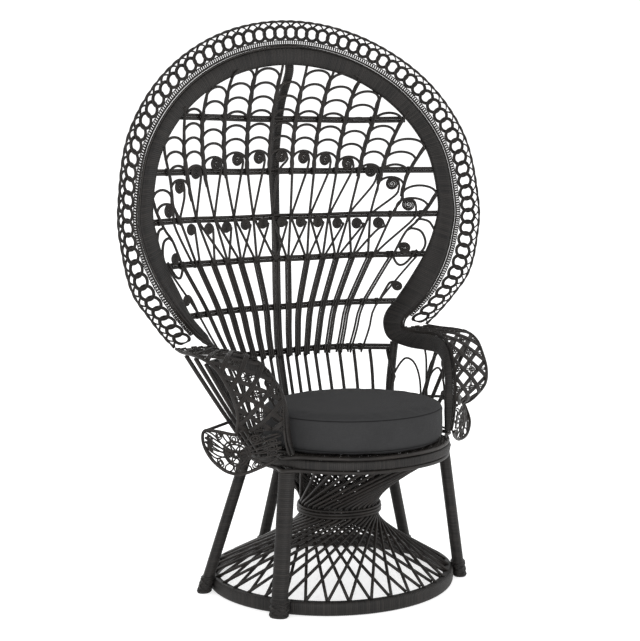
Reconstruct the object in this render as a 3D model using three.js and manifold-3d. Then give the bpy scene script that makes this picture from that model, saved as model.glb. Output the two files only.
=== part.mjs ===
// Peacock chair: an hourglass base of straight canes, a round seat with a loose cushion, and a tall
// fan back whose wrapped band turns forward into two arms with lace lobes.
// Millimetres, +Z up, the front faces -Y, the origin is under the middle of the outer box.
import * as THREE from "three";
import { mergeVertices } from "three/addons/utils/BufferGeometryUtils.js";
import Module from "manifold-3d";

// Clearance between pieces that touch.
const clearance = 0.3;

// Main sizes: the radius of the seat opening inside its rim, the radius of the floor ring, the top
// of the seat rim, and the height of the back, which most places above the seat are a share of.
// Places across and in depth are shares of the seat opening.
const seatInside = 250;
const baseRadius = 331;
const seatHeight = 391;
const backHeight = 1000;

// Base ring on the floor.
const baseDepth = 26;
const baseHeight = 36;
const baseRounding = 2;
const hoopSegments = 32;

// Seat rim, its two strands and the woven panel.
const seatCentreShare = -0.348;
const seatRimDepth = 18;
const seatRimRounding = 3;
const seatRimHeight = 23;
const seatStrandRadius = 5;
const seatStrandSetout = 11;
const seatPanelOverlap = 3;
const seatPanelThickness = 8.7;

// Hourglass canes: two families that twist opposite ways round a waist hoop.
const caneCount = 36;
const waistCentreShare = -0.168;
const waistHeightShare = 0.5;
const waistTall = 28;
const hoopShare = 0.42;
const hoopStep = 17;
const hoopDepth = 6;
const footInset = 12.5;
const footStep = 15;
const headInset = 1;
const headStep = 20;
const lowerTwistTurnShare = 0.194;
const upperTwistTurnShare = 0.175;
const caneWidthShare = 0.62;
const waistBindingWidth = 8;
const waistBindingInset = 2;
const waistBindingSegments = 24;

// Cushion, a round box cushion with a crowned top and drawn-in sides.
const cushionInset = 14;
const cushionCentreShare = -0.428;
const cushionThickness = 102.7;
const cushionSeamShares = [0.104, 0.873];
const cushionWaist = 3;
const cushionEdge = 5;
const cushionFlatShare = 0.6;
const cushionCrownShares = [[0.86, 0.375], [0.55, 0.75]];
const cushionSides = 32;

// Legs: the feet are shares of the floor ring, the heads shares of the seat opening.
const frontFootShares = [0.888, -0.58];
const frontHeadShares = [1.008, -0.7];
const sideFootShares = [1.03, 0.293];
const sideHeadShares = [0.916, 0.216];
const rearFootShare = 1.063;
const frontLegWidth = 43;
const frontLegDepth = 31;
const roundLegWidth = 31;
const collarExtra = 6;
const collarHeight = 42;
const legSides = 8;

// Rear pole behind the back: heights, and how far behind the back surface it stands at each.
const poleRadius = 12;
const poleSetback = 30;
const poleHeightShares = [0.089, 0.207, 0.349, 0.509, 0.669, 0.759, 0.85, 0.909, 0.969, 0.997];
const poleSetbackShares = [0.97, 0.95, 0.98, 1, 1, 1, 1, 1, 0.7, 0.95];

// Wrapped band of the right half, from the top of the fan to the foot of the arm column: the outer
// edge and the inner edge at the same stations.
const bandOuterShares = [
  [0, 0.548, 1.036], [0.776, 0.52, 1.003], [1.436, 0.448, 0.912], [1.88, 0.372, 0.774],
  [2.032, 0.34, 0.612], [1.996, 0.336, 0.527], [1.876, 0.316, 0.448], [1.672, 0.316, 0.37],
  [1.476, 0.364, 0.317], [1.34, 0.4, 0.287], [1.268, 0.352, 0.265], [1.252, 0.232, 0.254],
  [1.276, 0.024, 0.252], [1.284, -0.188, 0.252], [1.248, -0.396, 0.247], [1.188, -0.56, 0.23],
  [1.132, -0.688, 0.196], [1.092, -0.76, 0.156], [1.08, -0.776, 0.109], [1.068, -0.776, 0.068],
  [1.044, -0.78, 0.035], [1.012, -0.788, 0.012],
];
const bandInnerShares = [
  [0, 0.568, 0.991], [0.708, 0.544, 0.963], [1.308, 0.492, 0.882], [1.712, 0.432, 0.763],
  [1.852, 0.4, 0.621], [1.804, 0.408, 0.543], [1.696, 0.448, 0.471], [1.532, 0.508, 0.4],
  [1.38, 0.58, 0.339], [1.248, 0.608, 0.301], [1.152, 0.536, 0.266], [1.124, 0.392, 0.231],
  [1.2, 0.16, 0.212], [1.232, -0.14, 0.209], [1.208, -0.336, 0.208], [1.144, -0.488, 0.201],
  [1.08, -0.616, 0.183], [1.036, -0.692, 0.151], [1.012, -0.72, 0.109], [0.996, -0.728, 0.068],
  [0.984, -0.748, 0.035], [0.968, -0.768, 0.012],
];
const bandSectionShares = [0.22, 0.78];
const neckStation = 10;
const fanBandThickness = 22;
const armBandThickness = 14;
const fanBandSteps = 18;
const armBandSteps = 16;

// Trim strand beside the band.
const trimRadius = 5.5;
const armTrimRadius = 4;

// Outer rim strand of the fan, at the first ten stations of the band.
const rimShares = [
  [0, 0.52, 1.105], [0.888, 0.48, 1.068], [1.648, 0.372, 0.963], [2.144, 0.276, 0.807],
  [2.316, 0.22, 0.621], [2.288, 0.212, 0.509], [2.184, 0.228, 0.414], [1.992, 0.268, 0.35],
  [1.8, 0.328, 0.297], [1.656, 0.372, 0.264],
];
const rimRadius = 3.8;
const lacePitches = 35;
const laceThickness = 5;
const ringHoleShares = [[0.5, 0.16], [0.82, 0.5], [0.5, 0.88], [0.18, 0.5]];

// Arm rim strand: from the end of the fan rim round the upper lobe, the pinch and the lower lobe.
const armRimShares = [
  [1.652, 0.336, 0.261], [1.688, 0.16, 0.258], [1.708, -0.08, 0.258], [1.708, -0.3, 0.253],
  [1.68, -0.48, 0.236], [1.644, -0.616, 0.202], [1.616, -0.708, 0.164], [1.58, -0.724, 0.124],
  [1.524, -0.612, 0.085], [1.484, -0.504, 0.067], [1.576, -0.336, 0.071], [1.66, -0.212, 0.07],
  [1.7, -0.264, 0.041], [1.668, -0.372, 0.005], [1.552, -0.456, -0.025], [1.4, -0.508, -0.033],
  [1.248, -0.608, -0.017], [1.124, -0.728, 0.005],
];
const armRimRadius = 4.5;
const armRimSteps = 25;

// Outer edge of the upper arm lace, at the stations of the arm band from the neck onward.
const upperLobeEdgeShares = [
  [1.648, 0.336, 0.261], [1.668, 0.248, 0.259], [1.696, 0.06, 0.258], [1.708, -0.152, 0.258],
  [1.7, -0.368, 0.25], [1.664, -0.544, 0.222], [1.632, -0.656, 0.187], [1.6, -0.72, 0.149],
  [1.556, -0.684, 0.105], [1.488, -0.512, 0.068],
];
const upperLobeCells = [8, 2];
const upperLobeShares = [0.03, 0.97];

// Upper and lower edge of the lower arm lace.
const lowerLobeTopShares = [
  [1.088, -0.812, 0.07], [1.288, -0.66, 0.068], [1.484, -0.504, 0.067], [1.576, -0.336, 0.071],
  [1.66, -0.212, 0.07],
];
const lowerLobeFootShares = [
  [1.072, -0.812, 0.021], [1.248, -0.608, -0.015], [1.424, -0.496, -0.033],
  [1.608, -0.42, -0.012], [1.696, -0.288, 0.034],
];
const lowerLobeCells = [5, 2];
const lowerLobeShares = [0.04, 0.96];
const diamondHoleShares = [[0.5, 0.09], [0.91, 0.5], [0.5, 0.91], [0.09, 0.5]];
const armLaceThickness = 4.5;
const laceSlack = 4;

// Braces from the seat rim to the arm rim, and the stay behind the lower lobe.
const braceFootShares = [[1.048, -0.112, -0.011], [1.048, -0.212, -0.011], [1.048, -0.312, -0.011]];
const braceHeadShares = [[1.668, 0.108, 0.251], [1.7, -0.14, 0.251], [1.704, -0.352, 0.242]];
const braceRadius = 6;
const stayFootShares = [1.248, -0.048, 0.077];
const stayHeadShares = [1.66, -0.212, 0.07];
const stayRadius = 4;

// Rear arm post, from the seat rim to the neck.
const postShares = [
  [0.952, 0.124, 0.005], [1.016, 0.244, 0.09], [1.14, 0.356, 0.169], [1.196, 0.388, 0.221],
];
const postRadius = 12;

// Rails across the back: height, half length and the gap to the canes in front.
const railHeightShares = [0.85, 0.708, 0.582, 0.466, 0.332, 0.207];
const railReachShares = [1.464, 1.848, 1.88, 1.696, 1.344, 1.2];
const railTall = 16;
const railDeep = 12;
const railSteps = 16;
const railStepPowerShare = 0.62;
const railGap = 0.8;
const railGapShares = [1, 1.25, 1.25, 1, 1, 2.25];
const railSectionShares = [[0.5, -0.5], [0.5, 0.5], [-0.5, 0.5], [-0.5, -0.5]];

// Back surface: the depth of its middle line and of its band side, and its half width, by height.
const surfaceHeightShares = [
  0.004, 0.109, 0.191, 0.259, 0.309, 0.369, 0.449, 0.543, 0.621, 0.707, 0.769, 0.845, 0.923, 0.994,
];
const surfaceMiddleShares = [
  0.688, 0.76, 0.836, 0.868, 0.872, 0.872, 0.872, 0.872, 0.872, 0.868, 0.848, 0.784, 0.68, 0.556,
];
const surfaceSideShares = [
  0.08, 0.28, 0.392, 0.552, 0.604, 0.528, 0.472, 0.408, 0.4, 0.4, 0.428, 0.464, 0.504, 0.568,
];
const surfaceHalfShares = [
  1.048, 1.088, 1.112, 1.152, 1.268, 1.456, 1.66, 1.804, 1.852, 1.8, 1.696, 1.456, 1.08, 0.24,
];
const surfaceEndShare = 1.25;

// Canes of the back lattice, from the top of the fan to rail 4.
const caneWidth = 6.5;
const caneDepth = 6.5;
const outlineTolerance = 1.4;
const smallestHoleWidth = 9;
const spokeShares = [
  [[0.156, 0.993], [0.152, 0.852], [0.148, 0.716], [0.12, 0.586]],
  [[0.496, 0.981], [0.468, 0.852], [0.44, 0.716], [0.372, 0.586]],
  [[0.824, 0.951], [0.792, 0.852], [0.736, 0.716], [0.628, 0.586]],
  [[1.12, 0.915], [1.116, 0.852], [1.024, 0.714], [0.892, 0.586]],
  [[1.448, 0.871], [1.4, 0.834], [1.28, 0.706], [1.148, 0.586]],
  [[1.688, 0.769], [1.548, 0.691], [1.492, 0.622], [1.396, 0.584], [1.156, 0.459]],
  [[1.856, 0.643], [1.764, 0.6], [1.636, 0.558], [1.524, 0.529], [1.38, 0.461]],
];
const archPitchShare = 0.036;
const archRiseShare = 0.025;
const archFirstShare = 0.023;
const archCounts = [6, 7, 7, 6, 5, 4, 2];
const upperCurlShares = [
  [0, 0.745], [0.292, 0.741], [0.576, 0.736], [0.864, 0.724], [1.148, 0.702], [1.392, 0.665],
  [1.568, 0.604],
];
// The tails leave their curls on the right-hand side in both halves, and run down to the left.
const upperTailShares = [
  [[0, 0.729], [-0.048, 0.699], [-0.12, 0.587]],
  [[0.36, 0.737], [0.324, 0.699], [0.132, 0.587]],
  [[0.644, 0.731], [0.608, 0.694], [0.384, 0.587]],
  [[0.932, 0.719], [0.88, 0.686], [0.64, 0.587]],
  [[1.216, 0.696], [1.16, 0.661], [0.888, 0.587]],
  [[1.456, 0.657], [1.42, 0.634], [1.164, 0.587]],
  [[1.632, 0.594], [1.608, 0.566], [1.26, 0.487], [1.156, 0.459]],
  [[-0.224, 0.737], [-0.252, 0.699], [-0.372, 0.587]],
  [[-0.508, 0.731], [-0.532, 0.694], [-0.628, 0.587]],
  [[-0.796, 0.719], [-0.816, 0.686], [-0.892, 0.587]],
  [[-1.08, 0.696], [-1.096, 0.661], [-1.148, 0.587]],
  [[-1.324, 0.657], [-1.328, 0.634], [-1.396, 0.587]],
  [[-1.5, 0.594], [-1.48, 0.566], [-1.28, 0.487], [-1.2, 0.459]],
];
const upperCurlRadius = 17.5;
const lowerCurlShares = [
  [0, 0.564], [0.248, 0.562], [0.48, 0.56], [0.732, 0.555], [0.976, 0.553], [1.232, 0.553],
];
const lowerCurlRadius = 15;
const sideCurlShares = [1.504, 0.48];
const sideCurlRadius = 18;
const lowestCurlShares = [1.384, 0.371];
const lowestCurlRadius = 16;
const spokeEndShares = [
  [[0.12, 0.588], [0.08, 0.459]], [[0.372, 0.588], [0.332, 0.459]],
  [[0.628, 0.588], [0.536, 0.459]], [[0.892, 0.588], [0.712, 0.459]],
  [[1.148, 0.588], [0.908, 0.459]],
];
// Each spoke also sends a cane to the next bundle on its right, in both halves.
const crossingShares = [
  [[0.12, 0.588], [0.332, 0.459]], [[0.372, 0.588], [0.536, 0.459]],
  [[0.628, 0.588], [0.712, 0.459]], [[0.892, 0.588], [0.908, 0.459]],
  [[1.148, 0.588], [1.108, 0.459]], [[-0.12, 0.588], [0.08, 0.459]],
  [[-0.372, 0.588], [-0.08, 0.459]], [[-0.628, 0.588], [-0.332, 0.459]],
  [[-0.892, 0.588], [-0.536, 0.459]], [[-1.148, 0.588], [-0.712, 0.459]],
];
const lowerTailShares = [
  [[0.056, 0.557], [-0.08, 0.459]], [[0.304, 0.556], [0.088, 0.459]],
  [[0.536, 0.555], [0.332, 0.459]], [[0.788, 0.55], [0.536, 0.459]],
  [[1.032, 0.548], [0.712, 0.459]], [[1.288, 0.548], [1.2, 0.534], [0.908, 0.459]],
  [[-0.192, 0.556], [-0.332, 0.459]], [[-0.424, 0.555], [-0.536, 0.459]],
  [[-0.676, 0.55], [-0.712, 0.459]], [[-0.92, 0.548], [-0.908, 0.459]],
  [[-1.176, 0.548], [-1.116, 0.459]],
];
const outerArchShares = [
  [[1.632, 0.557], [1.668, 0.566], [1.76, 0.559], [1.808, 0.534]],
  [[1.536, 0.533], [1.592, 0.54], [1.68, 0.531], [1.716, 0.504], [1.696, 0.481], [1.624, 0.46]],
];

// Cane bundles from rail 4 to the nubs below rail 6.
const bundleHeightShares = [0.456, 0.332, 0.259, 0.199];
const bundleShares = [
  [0.08, 0.08, 0.072, 0.064], [0.332, 0.22, 0.196, 0.176], [0.536, 0.38, 0.332, 0.292],
  [0.712, 0.54, 0.472, 0.416], [0.908, 0.696, 0.612, 0.544], [1.116, 0.86, 0.76, 0.676],
  [1.352, 1.028, 0.896, 0.784], [1.612, 1.188, 1.032, 0.9],
];
const bundleWidth = 20;
const bundleWidthShares = [1, 1, 1, 1, 1, 1, 0.7, 0.4];
const bundleTieWidth = 9;

// Lower back canes, from rail 6 to the seat rim.
const lowerCaneHeadShares = [0.056, 0.172, 0.288, 0.42, 0.56, 0.7, 0.844, 0.988, 1.128];
const lowerCaneFootShares = [0.052, 0.156, 0.264, 0.38, 0.496, 0.608, 0.716, 0.82, 0.912];
const lowerCaneSetback = 10;
const lowerCaneGap = 1.3;
const lowerCaneTieRise = 7;

// Side panel under the arm: its corners at the rear post and at the front column, and its canes in
// shares of its length and height.
const panelRearFootShares = [0.988, 0.064, 0.009];
const panelRearHeadShares = [1.212, 0.264, 0.215];
const panelFrontFootShares = [0.996, -0.784, 0.009];
const panelFrontHeadShares = [1.048, -0.736, 0.215];
const panelFootBow = 18;
const panelHeadBow = 26;
const panelLengthShare = 0.86;
const panelHeightShare = 0.206;
const panelCane = 6;
const panelStrokeShares = [
  [[0.447, 0.01], [0.428, 0.461], [0.4, 0.825], [0.353, 1]],
  [[0.493, 0.01], [0.47, 0.291], [0.433, 0.534]],
  [[0, 0.728], [0.065, 0.83], [0.177, 0.801], [0.27, 0.68], [0.335, 0.461], [0.367, 0.01]],
  [[0.433, 0.607], [0.488, 0.801], [0.581, 0.922], [0.679, 1]],
  [
    [0.437, 0.437], [0.502, 0.655], [0.595, 0.752], [0.698, 0.777], [0.791, 0.704], [0.86, 0.558],
    [0.921, 0.291], [0.949, 0.01],
  ],
  [[0.87, 0.854], [0.828, 0.631]],
  [[0.335, 0.039], [0.958, 0.039]],
];
const panelCurlShares = [[0.87, 0.854], [0.893, 0.447]];
const panelCurlRadius = 14;

// Sizes and places that follow from the main sizes.
const across = (share) => share * seatInside;
const heightAt = (share) => seatHeight + share * backHeight;
const placed = ([x, y, z]) => [across(x), across(y), heightAt(z)];
const onBack = ([x, z]) => [across(x), heightAt(z)];
const seatCentreY = across(seatCentreShare);
const seatRadius = seatInside + seatRimDepth;
const seatRimLow = seatHeight - seatRimHeight;
const seatStrandRing = seatInside + seatStrandSetout;
const seatPanelLow = seatHeight + clearance;
const seatPanelTop = seatPanelLow + seatPanelThickness;
const waistCentreY = across(waistCentreShare);
const waistLow = waistHeightShare * seatHeight;
const waistHigh = waistLow + waistTall;
const outerHoopRadius = across(hoopShare);
const innerHoopRadius = outerHoopRadius - hoopStep;
const outerFootRadius = baseRadius - footInset;
const innerFootRadius = outerFootRadius - footStep;
const outerHeadRadius = seatInside - headInset;
const innerHeadRadius = outerHeadRadius - headStep;
const cushionRadius = seatInside - cushionInset;
const cushionCentreY = across(cushionCentreShare);
const cushionBottom = seatPanelTop + clearance;
const [cushionLowSeam, cushionHighSeam] = cushionSeamShares
  .map((share) => cushionBottom + share * cushionThickness);
const cushionTop = cushionBottom + cushionThickness;
const legTop = seatRimLow - 2 * seatStrandRadius - 3 * clearance;
const footAt = ([x, y]) => [x * baseRadius, y * baseRadius, 0];
const headAt = ([x, y]) => [across(x), across(y), legTop];
const frontFoot = footAt(frontFootShares);
const frontHead = headAt(frontHeadShares);
const sideFoot = footAt(sideFootShares);
const sideHead = headAt(sideHeadShares);
const rearFoot = footAt([0, rearFootShare]);
const rearHead = [0, seatCentreY + seatRadius + roundLegWidth / 2 + clearance, seatHeight];
const bandOuterEdge = bandOuterShares.map(placed);
const bandInnerEdge = bandInnerShares.map(placed);
const rimEdge = rimShares.map(placed);
const upperLobeEdge = upperLobeEdgeShares.map(placed);
const braceFeet = braceFootShares.map(placed);
const braceHeads = braceHeadShares.map(placed);
const railHeights = railHeightShares.map(heightAt);
const surfaceHeights = surfaceHeightShares.map(heightAt);
const surfaceMiddle = surfaceMiddleShares.map(across);
const surfaceSide = surfaceSideShares.map(across);
const surfaceHalf = surfaceHalfShares.map(across);
const bundleHeights = bundleHeightShares.map(heightAt);
const lowerCaneTop = railHeights[railHeights.length - 1] - railTall / 2 - lowerCaneGap;
const lowerCaneFoot = seatHeight + 2 * seatStrandRadius + 3 * clearance;
const lowerCaneTie = lowerCaneFoot + lowerCaneTieRise;
const panelLength = across(panelLengthShare);
const panelHeight = panelHeightShare * backHeight;

// Stained cane, wrapped core and cushion cloth.
const stainColour = 0x2b2826;
const wrapColour = 0x2f2d2b;
const clothColour = 0x3a3a3b;

const wasm = await Module();
wasm.setup();
const { Manifold, Mesh } = wasm;

const weldDistance = 0.0005;
const up = new THREE.Vector3(0, 0, 1);
const back = new THREE.Vector3(0, 1, 0);
const vector = ([x, y, z]) => new THREE.Vector3(x, y, z);

// Smooth curve through control points; station k of n lies at parameter k / (n - 1).
function curve(points) {
  return new THREE.CatmullRomCurve3(points.map(vector), false, "catmullrom", 0.5);
}

// Closed triangle mesh as a solid for cuts and joins.
function solidOf(geometry) {
  const plain = new THREE.BufferGeometry();
  plain.setAttribute("position", geometry.getAttribute("position").clone());
  if (geometry.index) plain.setIndex(geometry.index.clone());
  const welded = mergeVertices(plain, weldDistance);
  return new Manifold(new Mesh({
    numProp: 3,
    vertProperties: new Float32Array(welded.getAttribute("position").array),
    triVerts: new Uint32Array(welded.index.array),
  }));
}

// Largest connected body of a solid, as a geometry.
function geometryOf(solid) {
  const mesh = solid.getMesh();
  const parents = Array.from({ length: mesh.vertProperties.length / 3 }, (_, i) => i);
  const root = (i) => {
    let at = i;
    while (parents[at] !== at) {
      parents[at] = parents[parents[at]];
      at = parents[at];
    }
    return at;
  };
  for (let i = 0; i < mesh.triVerts.length; i += 3) {
    parents[root(mesh.triVerts[i + 1])] = root(mesh.triVerts[i]);
    parents[root(mesh.triVerts[i + 2])] = root(mesh.triVerts[i]);
  }
  const sizes = new Map();
  for (let i = 0; i < mesh.triVerts.length; i += 3) {
    const key = root(mesh.triVerts[i]);
    sizes.set(key, (sizes.get(key) ?? 0) + bodyVolume(mesh, i));
  }
  const largest = [...sizes.entries()].sort((a, b) => b[1] - a[1])[0][0];
  const index = [];
  for (let i = 0; i < mesh.triVerts.length; i += 3) {
    if (root(mesh.triVerts[i]) === largest) index.push(...mesh.triVerts.slice(i, i + 3));
  }
  return packed(mesh.vertProperties, index);
}

// Signed volume share of one triangle.
function bodyVolume(mesh, i) {
  const [a, b, c] = [0, 1, 2].map((k) => {
    const at = 3 * mesh.triVerts[i + k];
    return vector(mesh.vertProperties.slice(at, at + 3));
  });
  return a.dot(b.clone().cross(c));
}

// Geometry with only the vertices that its triangles use.
function packed(values, index) {
  const slots = new Map();
  const positions = [];
  const order = index.map((i) => {
    if (!slots.has(i)) {
      slots.set(i, positions.length / 3);
      positions.push(values[3 * i], values[3 * i + 1], values[3 * i + 2]);
    }
    return slots.get(i);
  });
  const geometry = new THREE.BufferGeometry();
  geometry.setAttribute("position", new THREE.Float32BufferAttribute(positions, 3));
  geometry.setIndex(order);
  return geometry;
}

// Six times the signed volume of a closed geometry.
function signedVolume(geometry) {
  const at = geometry.getAttribute("position");
  const index = geometry.index.array;
  const corner = (i) => new THREE.Vector3().fromBufferAttribute(at, index[i]);
  let sum = 0;
  for (let i = 0; i < index.length; i += 3) {
    sum += corner(i).dot(corner(i + 1).cross(corner(i + 2)));
  }
  return sum;
}

// Body through a row of rings of points, capped at both ends or closed on itself.
function sweep(rings, closed = false) {
  const size = rings[0].length;
  const positions = rings.flat().flatMap((p) => [p.x, p.y, p.z]);
  const index = [];
  const spans = closed ? rings.length : rings.length - 1;
  for (let i = 0; i < spans; i += 1) {
    const a = i * size;
    const b = ((i + 1) % rings.length) * size;
    for (let j = 0; j < size; j += 1) {
      const k = (j + 1) % size;
      index.push(a + j, b + j, b + k, a + j, b + k, a + k);
    }
  }
  if (!closed) {
    const last = (rings.length - 1) * size;
    for (let j = 1; j < size - 1; j += 1) {
      index.push(0, j, j + 1, last, last + j + 1, last + j);
    }
  }
  const geometry = new THREE.BufferGeometry();
  geometry.setAttribute("position", new THREE.Float32BufferAttribute(positions, 3));
  geometry.setIndex(index);
  return outward(geometry);
}

// Turns the faces outward.
function outward(geometry) {
  if (signedVolume(geometry) < 0) {
    const index = Array.from(geometry.index.array);
    for (let i = 0; i < index.length; i += 3) {
      [index[i + 1], index[i + 2]] = [index[i + 2], index[i + 1]];
    }
    geometry.setIndex(index);
  }
  return geometry;
}

// Mirror image across the middle plane.
function mirrored(geometry) {
  return outward(geometry.clone().scale(-1, 1, 1));
}

// Round or oval section: offsets to the side and along the normal.
function ovalSection(width, depth, sides) {
  return Array.from({ length: sides }, (_, i) => {
    const angle = ((i + 0.5) / sides) * 2 * Math.PI;
    return [(Math.cos(angle) * width) / 2, (Math.sin(angle) * depth) / 2];
  });
}

// Four-cornered section of a thin strand, with its corners to the sides and along the normal.
function strandSection(radius) {
  return [[radius, 0], [0, radius], [-radius, 0], [0, -radius]];
}

// Tube along points, with its section turned from step to step as little as possible.
function tube(points, section, { closed = false, first = up } = {}) {
  const count = points.length;
  const tangents = points.map((p, i) => {
    const next = closed ? points[(i + 1) % count] : points[Math.min(i + 1, count - 1)];
    const before = closed ? points[(i + count - 1) % count] : points[Math.max(i - 1, 0)];
    return next.clone().sub(before).normalize();
  });
  let normal = first.clone();
  const rings = points.map((p, i) => {
    normal = normal.clone().addScaledVector(tangents[i], -normal.dot(tangents[i])).normalize();
    const side = tangents[i].clone().cross(normal);
    return section.map(([s, n]) => p.clone().addScaledVector(side, s).addScaledVector(normal, n));
  });
  return sweep(rings, closed);
}

// Hoop round a vertical axis, with a closed profile of [radius, height] pairs.
function hoop(profile, centreY, sides) {
  const rings = Array.from({ length: sides }, (_, i) => {
    const angle = (i / sides) * 2 * Math.PI;
    return profile.map(([r, z]) => vector([r * Math.cos(angle), centreY + r * Math.sin(angle), z]));
  });
  return sweep(rings, true);
}

// Solid of revolution round a vertical axis, from an open profile of [radius, height] pairs.
function turned(profile, centreY, sides) {
  const lathe = new THREE.LatheGeometry(profile.map(([r, z]) => new THREE.Vector2(r, z)), sides);
  lathe.rotateX(Math.PI / 2);
  lathe.translate(0, centreY, 0);
  return outward(mergeVertices(strip(lathe), weldDistance));
}

// Only the positions and triangles of a geometry, without collapsed triangles.
function strip(geometry) {
  const plain = new THREE.BufferGeometry();
  plain.setAttribute("position", geometry.getAttribute("position").clone());
  plain.setIndex(geometry.index.clone());
  const welded = mergeVertices(plain, weldDistance);
  const index = [];
  const all = welded.index.array;
  for (let i = 0; i < all.length; i += 3) {
    const [a, b, c] = [all[i], all[i + 1], all[i + 2]];
    if (a !== b && b !== c && c !== a) index.push(a, b, c);
  }
  welded.setIndex(index);
  return welded;
}

// Flat cane of one width along a path of [u, v] points, as a slab of the given depth.
function stroke(path, width, depth) {
  const points = path.map(([u, v]) => new THREE.Vector2(u, v));
  const sides = points.map((p, i) => {
    const before = points[Math.max(i - 1, 0)];
    const next = points[Math.min(i + 1, points.length - 1)];
    const along = next.clone().sub(before).normalize();
    return new THREE.Vector2(-along.y, along.x).multiplyScalar(width / 2);
  });
  const left = points.map((p, i) => p.clone().add(sides[i]));
  const right = points.map((p, i) => p.clone().sub(sides[i])).reverse();
  const shape = new THREE.Shape([...left, ...right]);
  return solidOf(indexed(new THREE.ExtrudeGeometry(shape, { depth, bevelEnabled: false })));
}

// Flat round curl.
function disc([u, v], radius, depth, sides = 6) {
  const shape = new THREE.Shape(Array.from({ length: sides }, (_, i) => {
    const angle = (i / sides) * 2 * Math.PI;
    return new THREE.Vector2(u + radius * Math.cos(angle), v + radius * Math.sin(angle));
  }));
  return solidOf(indexed(new THREE.ExtrudeGeometry(shape, { depth, bevelEnabled: false })));
}

// Welded and indexed copy that keeps only positions.
function indexed(geometry) {
  const plain = new THREE.BufferGeometry();
  plain.setAttribute("position", geometry.getAttribute("position").clone());
  return mergeVertices(plain, weldDistance);
}

// Join of many solids, in pairs.
function joined(solids) {
  let row = solids;
  while (row.length > 1) {
    const next = [];
    for (let i = 0; i < row.length; i += 2) {
      next.push(i + 1 < row.length ? row[i].add(row[i + 1]) : row[i]);
    }
    row = next;
  }
  return row[0];
}

// Outline loops of the upper face of joined flat slabs; the outer loop turns left, holes turn right.
function outlines(slabs, depth) {
  const mesh = joined(slabs).getMesh();
  const at = (i) => new THREE.Vector2(mesh.vertProperties[3 * i], mesh.vertProperties[3 * i + 1]);
  const upper = (i) => mesh.vertProperties[3 * i + 2] > depth / 2;
  const edges = new Map();
  for (let i = 0; i < mesh.triVerts.length; i += 3) {
    const corners = Array.from(mesh.triVerts.slice(i, i + 3));
    if (corners.every(upper)) {
      corners.forEach((a, k) => {
        const b = corners[(k + 1) % 3];
        if (!edges.delete(`${b},${a}`)) edges.set(`${a},${b}`, [a, b]);
      });
    }
  }
  const next = new Map([...edges.values()]);
  const loops = [];
  while (next.size) {
    const loop = [];
    let [v] = next.keys();
    while (next.has(v)) {
      loop.push(at(v));
      const following = next.get(v);
      next.delete(v);
      v = following;
    }
    loops.push(plainer(loop));
  }
  return loops;
}

// Loop without the points that lie on the line between their neighbours.
function plainer(loop) {
  const kept = [];
  loop.forEach((p, i) => {
    const before = kept[kept.length - 1] ?? loop[loop.length - 1];
    const next = loop[(i + 1) % loop.length];
    const along = next.clone().sub(before);
    const away = Math.abs(along.cross(p.clone().sub(before))) / Math.max(along.length(), clearance);
    if (away > outlineTolerance) kept.push(p);
  });
  return kept;
}

// Turns shared edges of flat faces as long as that shortens them, so that the faces follow a bend.
function shortened(points, faces) {
  const leftOf = (a, b, c) => (
    points[b].clone().sub(points[a]).cross(points[c].clone().sub(points[a])) > clearance
  );
  const run = (a, b) => points[a].distanceTo(points[b]);
  let again = true;
  while (again) {
    again = false;
    const owners = new Map();
    const busy = new Set();
    faces.forEach((face, f) => face.forEach((a, k) => {
      owners.set(`${a},${face[(k + 1) % 3]}`, [f, face[(k + 2) % 3]]);
    }));
    owners.forEach(([f, c], key) => {
      const [a, b] = key.split(",").map(Number);
      const [g, d] = owners.get(`${b},${a}`) ?? [f, c];
      const free = f !== g && !busy.has(f) && !busy.has(g);
      if (free && run(c, d) < run(a, b) - clearance && leftOf(a, d, c) && leftOf(d, b, c)) {
        faces[f] = [a, d, c];
        faces[g] = [d, b, c];
        busy.add(f).add(g);
        again = true;
      }
    });
  }
  return faces;
}

// Slab with the outline and holes of joined flat canes; place(u, v, d) gives its points.
function lattice(slabs, depth, place) {
  const area = (loop) => THREE.ShapeUtils.area(loop);
  const loops = outlines(slabs, depth);
  const outer = loops.reduce((best, loop) => (area(loop) > area(best) ? loop : best));
  const holes = loops.filter((loop) => area(loop) < -(smallestHoleWidth ** 2));
  const points = [outer, ...holes].flat();
  const faces = shortened(points, THREE.ShapeUtils.triangulateShape(outer, holes));
  const low = points.map((p) => place(p.x, p.y, 0));
  const high = points.map((p) => place(p.x, p.y, depth));
  const index = faces.flatMap(([a, b, c]) => [
    points.length + a, points.length + b, points.length + c, a, c, b,
  ]);
  let first = 0;
  [outer, ...holes].forEach((loop) => {
    loop.forEach((_, k) => {
      const a = first + k;
      const b = first + ((k + 1) % loop.length);
      index.push(a, b, points.length + b, a, points.length + b, points.length + a);
    });
    first += loop.length;
  });
  const geometry = new THREE.BufferGeometry();
  const values = [...low, ...high].flatMap((p) => [p.x, p.y, p.z]);
  geometry.setAttribute("position", new THREE.Float32BufferAttribute(values, 3));
  geometry.setIndex(index);
  return outward(geometry);
}

// Value between the entries of two matching lists.
function between(x, xs, ys) {
  if (x <= xs[0]) return ys[0];
  for (let i = 1; i < xs.length; i += 1) {
    if (x <= xs[i]) {
      const share = (x - xs[i - 1]) / (xs[i] - xs[i - 1]);
      return ys[i - 1] + share * (ys[i] - ys[i - 1]);
    }
  }
  return ys[ys.length - 1];
}

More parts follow.
